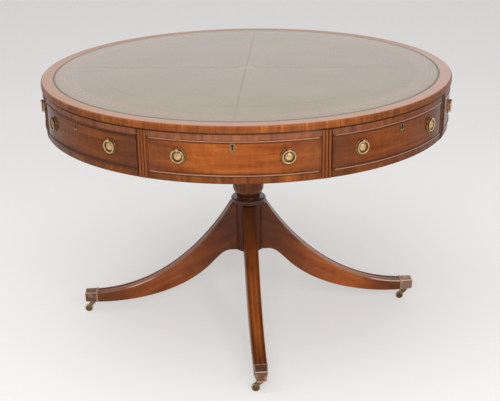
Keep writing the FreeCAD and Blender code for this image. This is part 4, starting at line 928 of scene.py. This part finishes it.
def ring_wear(tree, place):
    """A ring is rubbed all round, and a little dirty where it bears in its eye. The ring at the left of the front at
    the left is painted browner as shade.
    """
    rubbed, bearing_dirt, bearing_low, bearing_high = 0.7, 0.4, PULL_HEIGHT + 0.013, PULL_HEIGHT + 0.017
    at = on_drum(tree, place)
    bearing = times(tree, fade(tree, at["Height"], bearing_low, bearing_high), bearing_dirt)
    return rubbed, most(tree, bearing, shaded_left_pull(tree, at))


BRIGHT_BRASS, BROWN_BRASS = (0.66, 0.455, 0.225, 1.0), (0.29, 0.175, 0.072, 1.0)
fitting_brass = worn_brass(
    "yellow brass", BRIGHT_BRASS, BROWN_BRASS, fitting_wear, browned=(0.38, 0.7), patch=0.006, dullness=0.18)
dress(fitting_brass, "false_front_fittings", *("drawer_fittings_" + side for side in LEGS))
ring_brass = worn_brass(
    "ring brass", BRIGHT_BRASS, BROWN_BRASS, ring_wear, browned=(0.38, 0.7), patch=0.006, dullness=0.12)
dress(ring_brass, *(name for name in frame["nodes"] if name.startswith("pull_ring_")))


# Studio: a plain pale floor under a white sky, with a large soft light overhead, one in front and a smaller one
# at the right. The lights themselves don't show in the polish. A brighter patch of sky glints there instead.
def seen_directly(tree):
    """1 for what the camera sees, straight or by way of polish or glass, and 0 for bounced light."""
    path = put(tree, "LightPath").outputs
    return most(tree, path["Is Camera Ray"], path["Is Glossy Ray"], path["Is Transmission Ray"])


def floor_finish():
    """A pale floor that is darker to bounced light, so that it doesn't light the table from below."""
    dim, pale, mid_light = (0.34, 0.28, 0.23, 1.0), (0.56, 0.553, 0.545, 1.0), (1.0, 0.985, 0.97, 1.0)
    glow_strength = 0.4
    material, tree, shader = material_with("pale floor", roughness=0.9, emission_color=mid_light)[:3]
    seen = seen_directly(tree)
    tree.links.new(mixed(tree, seen, dim, pale), shader.inputs["Base Color"])
    tree.links.new(times(tree, seen, glow_strength), shader.inputs["Emission Strength"])
    return material


FLOOR_SIZE = 30.0
floor_mesh = bmesh.new()
bmesh.ops.create_grid(floor_mesh, x_segments=1, y_segments=1, size=FLOOR_SIZE / 2)
floor = bpy.data.objects.new("floor", bpy.data.meshes.new("floor"))
floor_mesh.to_mesh(floor.data)
floor_mesh.free()
floor.data.materials.append(floor_finish())
bpy.context.scene.collection.objects.link(floor)


def white_sky():
    """A sky that looks brighter than it lights, most of all behind the table, with a window that only glints."""
    colour, fill, before, behind, back_range = (1.0, 0.985, 0.965, 1.0), 0.36, 0.7, 0.88, (-0.7, 0.1)
    window_way, window_strength, window_edge = Vector((0.48, -0.75, 0.455)).normalized(), 2.4, (0.94, 0.98)
    sky = bpy.data.worlds.new("white sky")
    sky.use_nodes = True
    tree = sky.node_tree
    way = put(tree, "TexCoord").outputs["Generated"]
    looks = between(tree, fade(tree, axis(tree, way, "Y"), *back_range), before, behind)
    strength = calc(tree, "MULTIPLY_ADD", seen_directly(tree), calc(tree, "SUBTRACT", looks, fill), fill)
    towards = put(tree, "VectorMath", {0: way, 1: window_way}, operation="DOT_PRODUCT").outputs["Value"]
    window = times(tree, fade(tree, towards, *window_edge), put(tree, "LightPath").outputs["Is Glossy Ray"])
    background = tree.nodes["Background"].inputs
    background["Color"].default_value = colour
    tree.links.new(calc(tree, "MULTIPLY_ADD", window, window_strength, strength), background["Strength"])
    return sky


bpy.context.scene.world = white_sky()
AIM = Vector((0.0, 0.0, 0.5))


def soft_light(name, place, size, watts):
    """A square soft light at a place, in metres, that faces the drum."""
    lamp = bpy.data.lights.new(name, "AREA")
    lamp.size = size
    lamp.energy = watts
    light = bpy.data.objects.new(name, lamp)
    bpy.context.scene.collection.objects.link(light)
    light.visible_glossy = False
    facing = (AIM - Vector(place)).to_track_quat("-Z", "Y")
    light.matrix_world = Matrix.Translation(place) @ facing.to_matrix().to_4x4()


soft_light("overhead", (-0.3, -0.8, 3.4), size=3.0, watts=58.0)
soft_light("front", (0.2, -3.6, 1.9), size=1.8, watts=66.0)
soft_light("right", (1.8, -2.8, 2.4), size=0.7, watts=18.0)

CAMERA_PLACE = (0.1575, -2.5757, 1.3729)
CAMERA_TURN, CAMERA_PITCH, CAMERA_ROLL = 3.397, 21.594, 0.934
CAMERA_LENS = 66.29
camera = bpy.data.objects.new("camera", bpy.data.cameras.new("camera"))
camera.data.lens = CAMERA_LENS
bpy.context.scene.collection.objects.link(camera)
camera.matrix_world = (
    Matrix.Translation(CAMERA_PLACE)
    @ Matrix.Rotation(math.radians(CAMERA_TURN), 4, "Z")
    @ Matrix.Rotation(math.radians(90 - CAMERA_PITCH), 4, "X")
    @ Matrix.Rotation(math.radians(-CAMERA_ROLL), 4, "Z"))
bpy.context.scene.camera = camera
bpy.context.scene.view_settings.view_transform = "Standard"
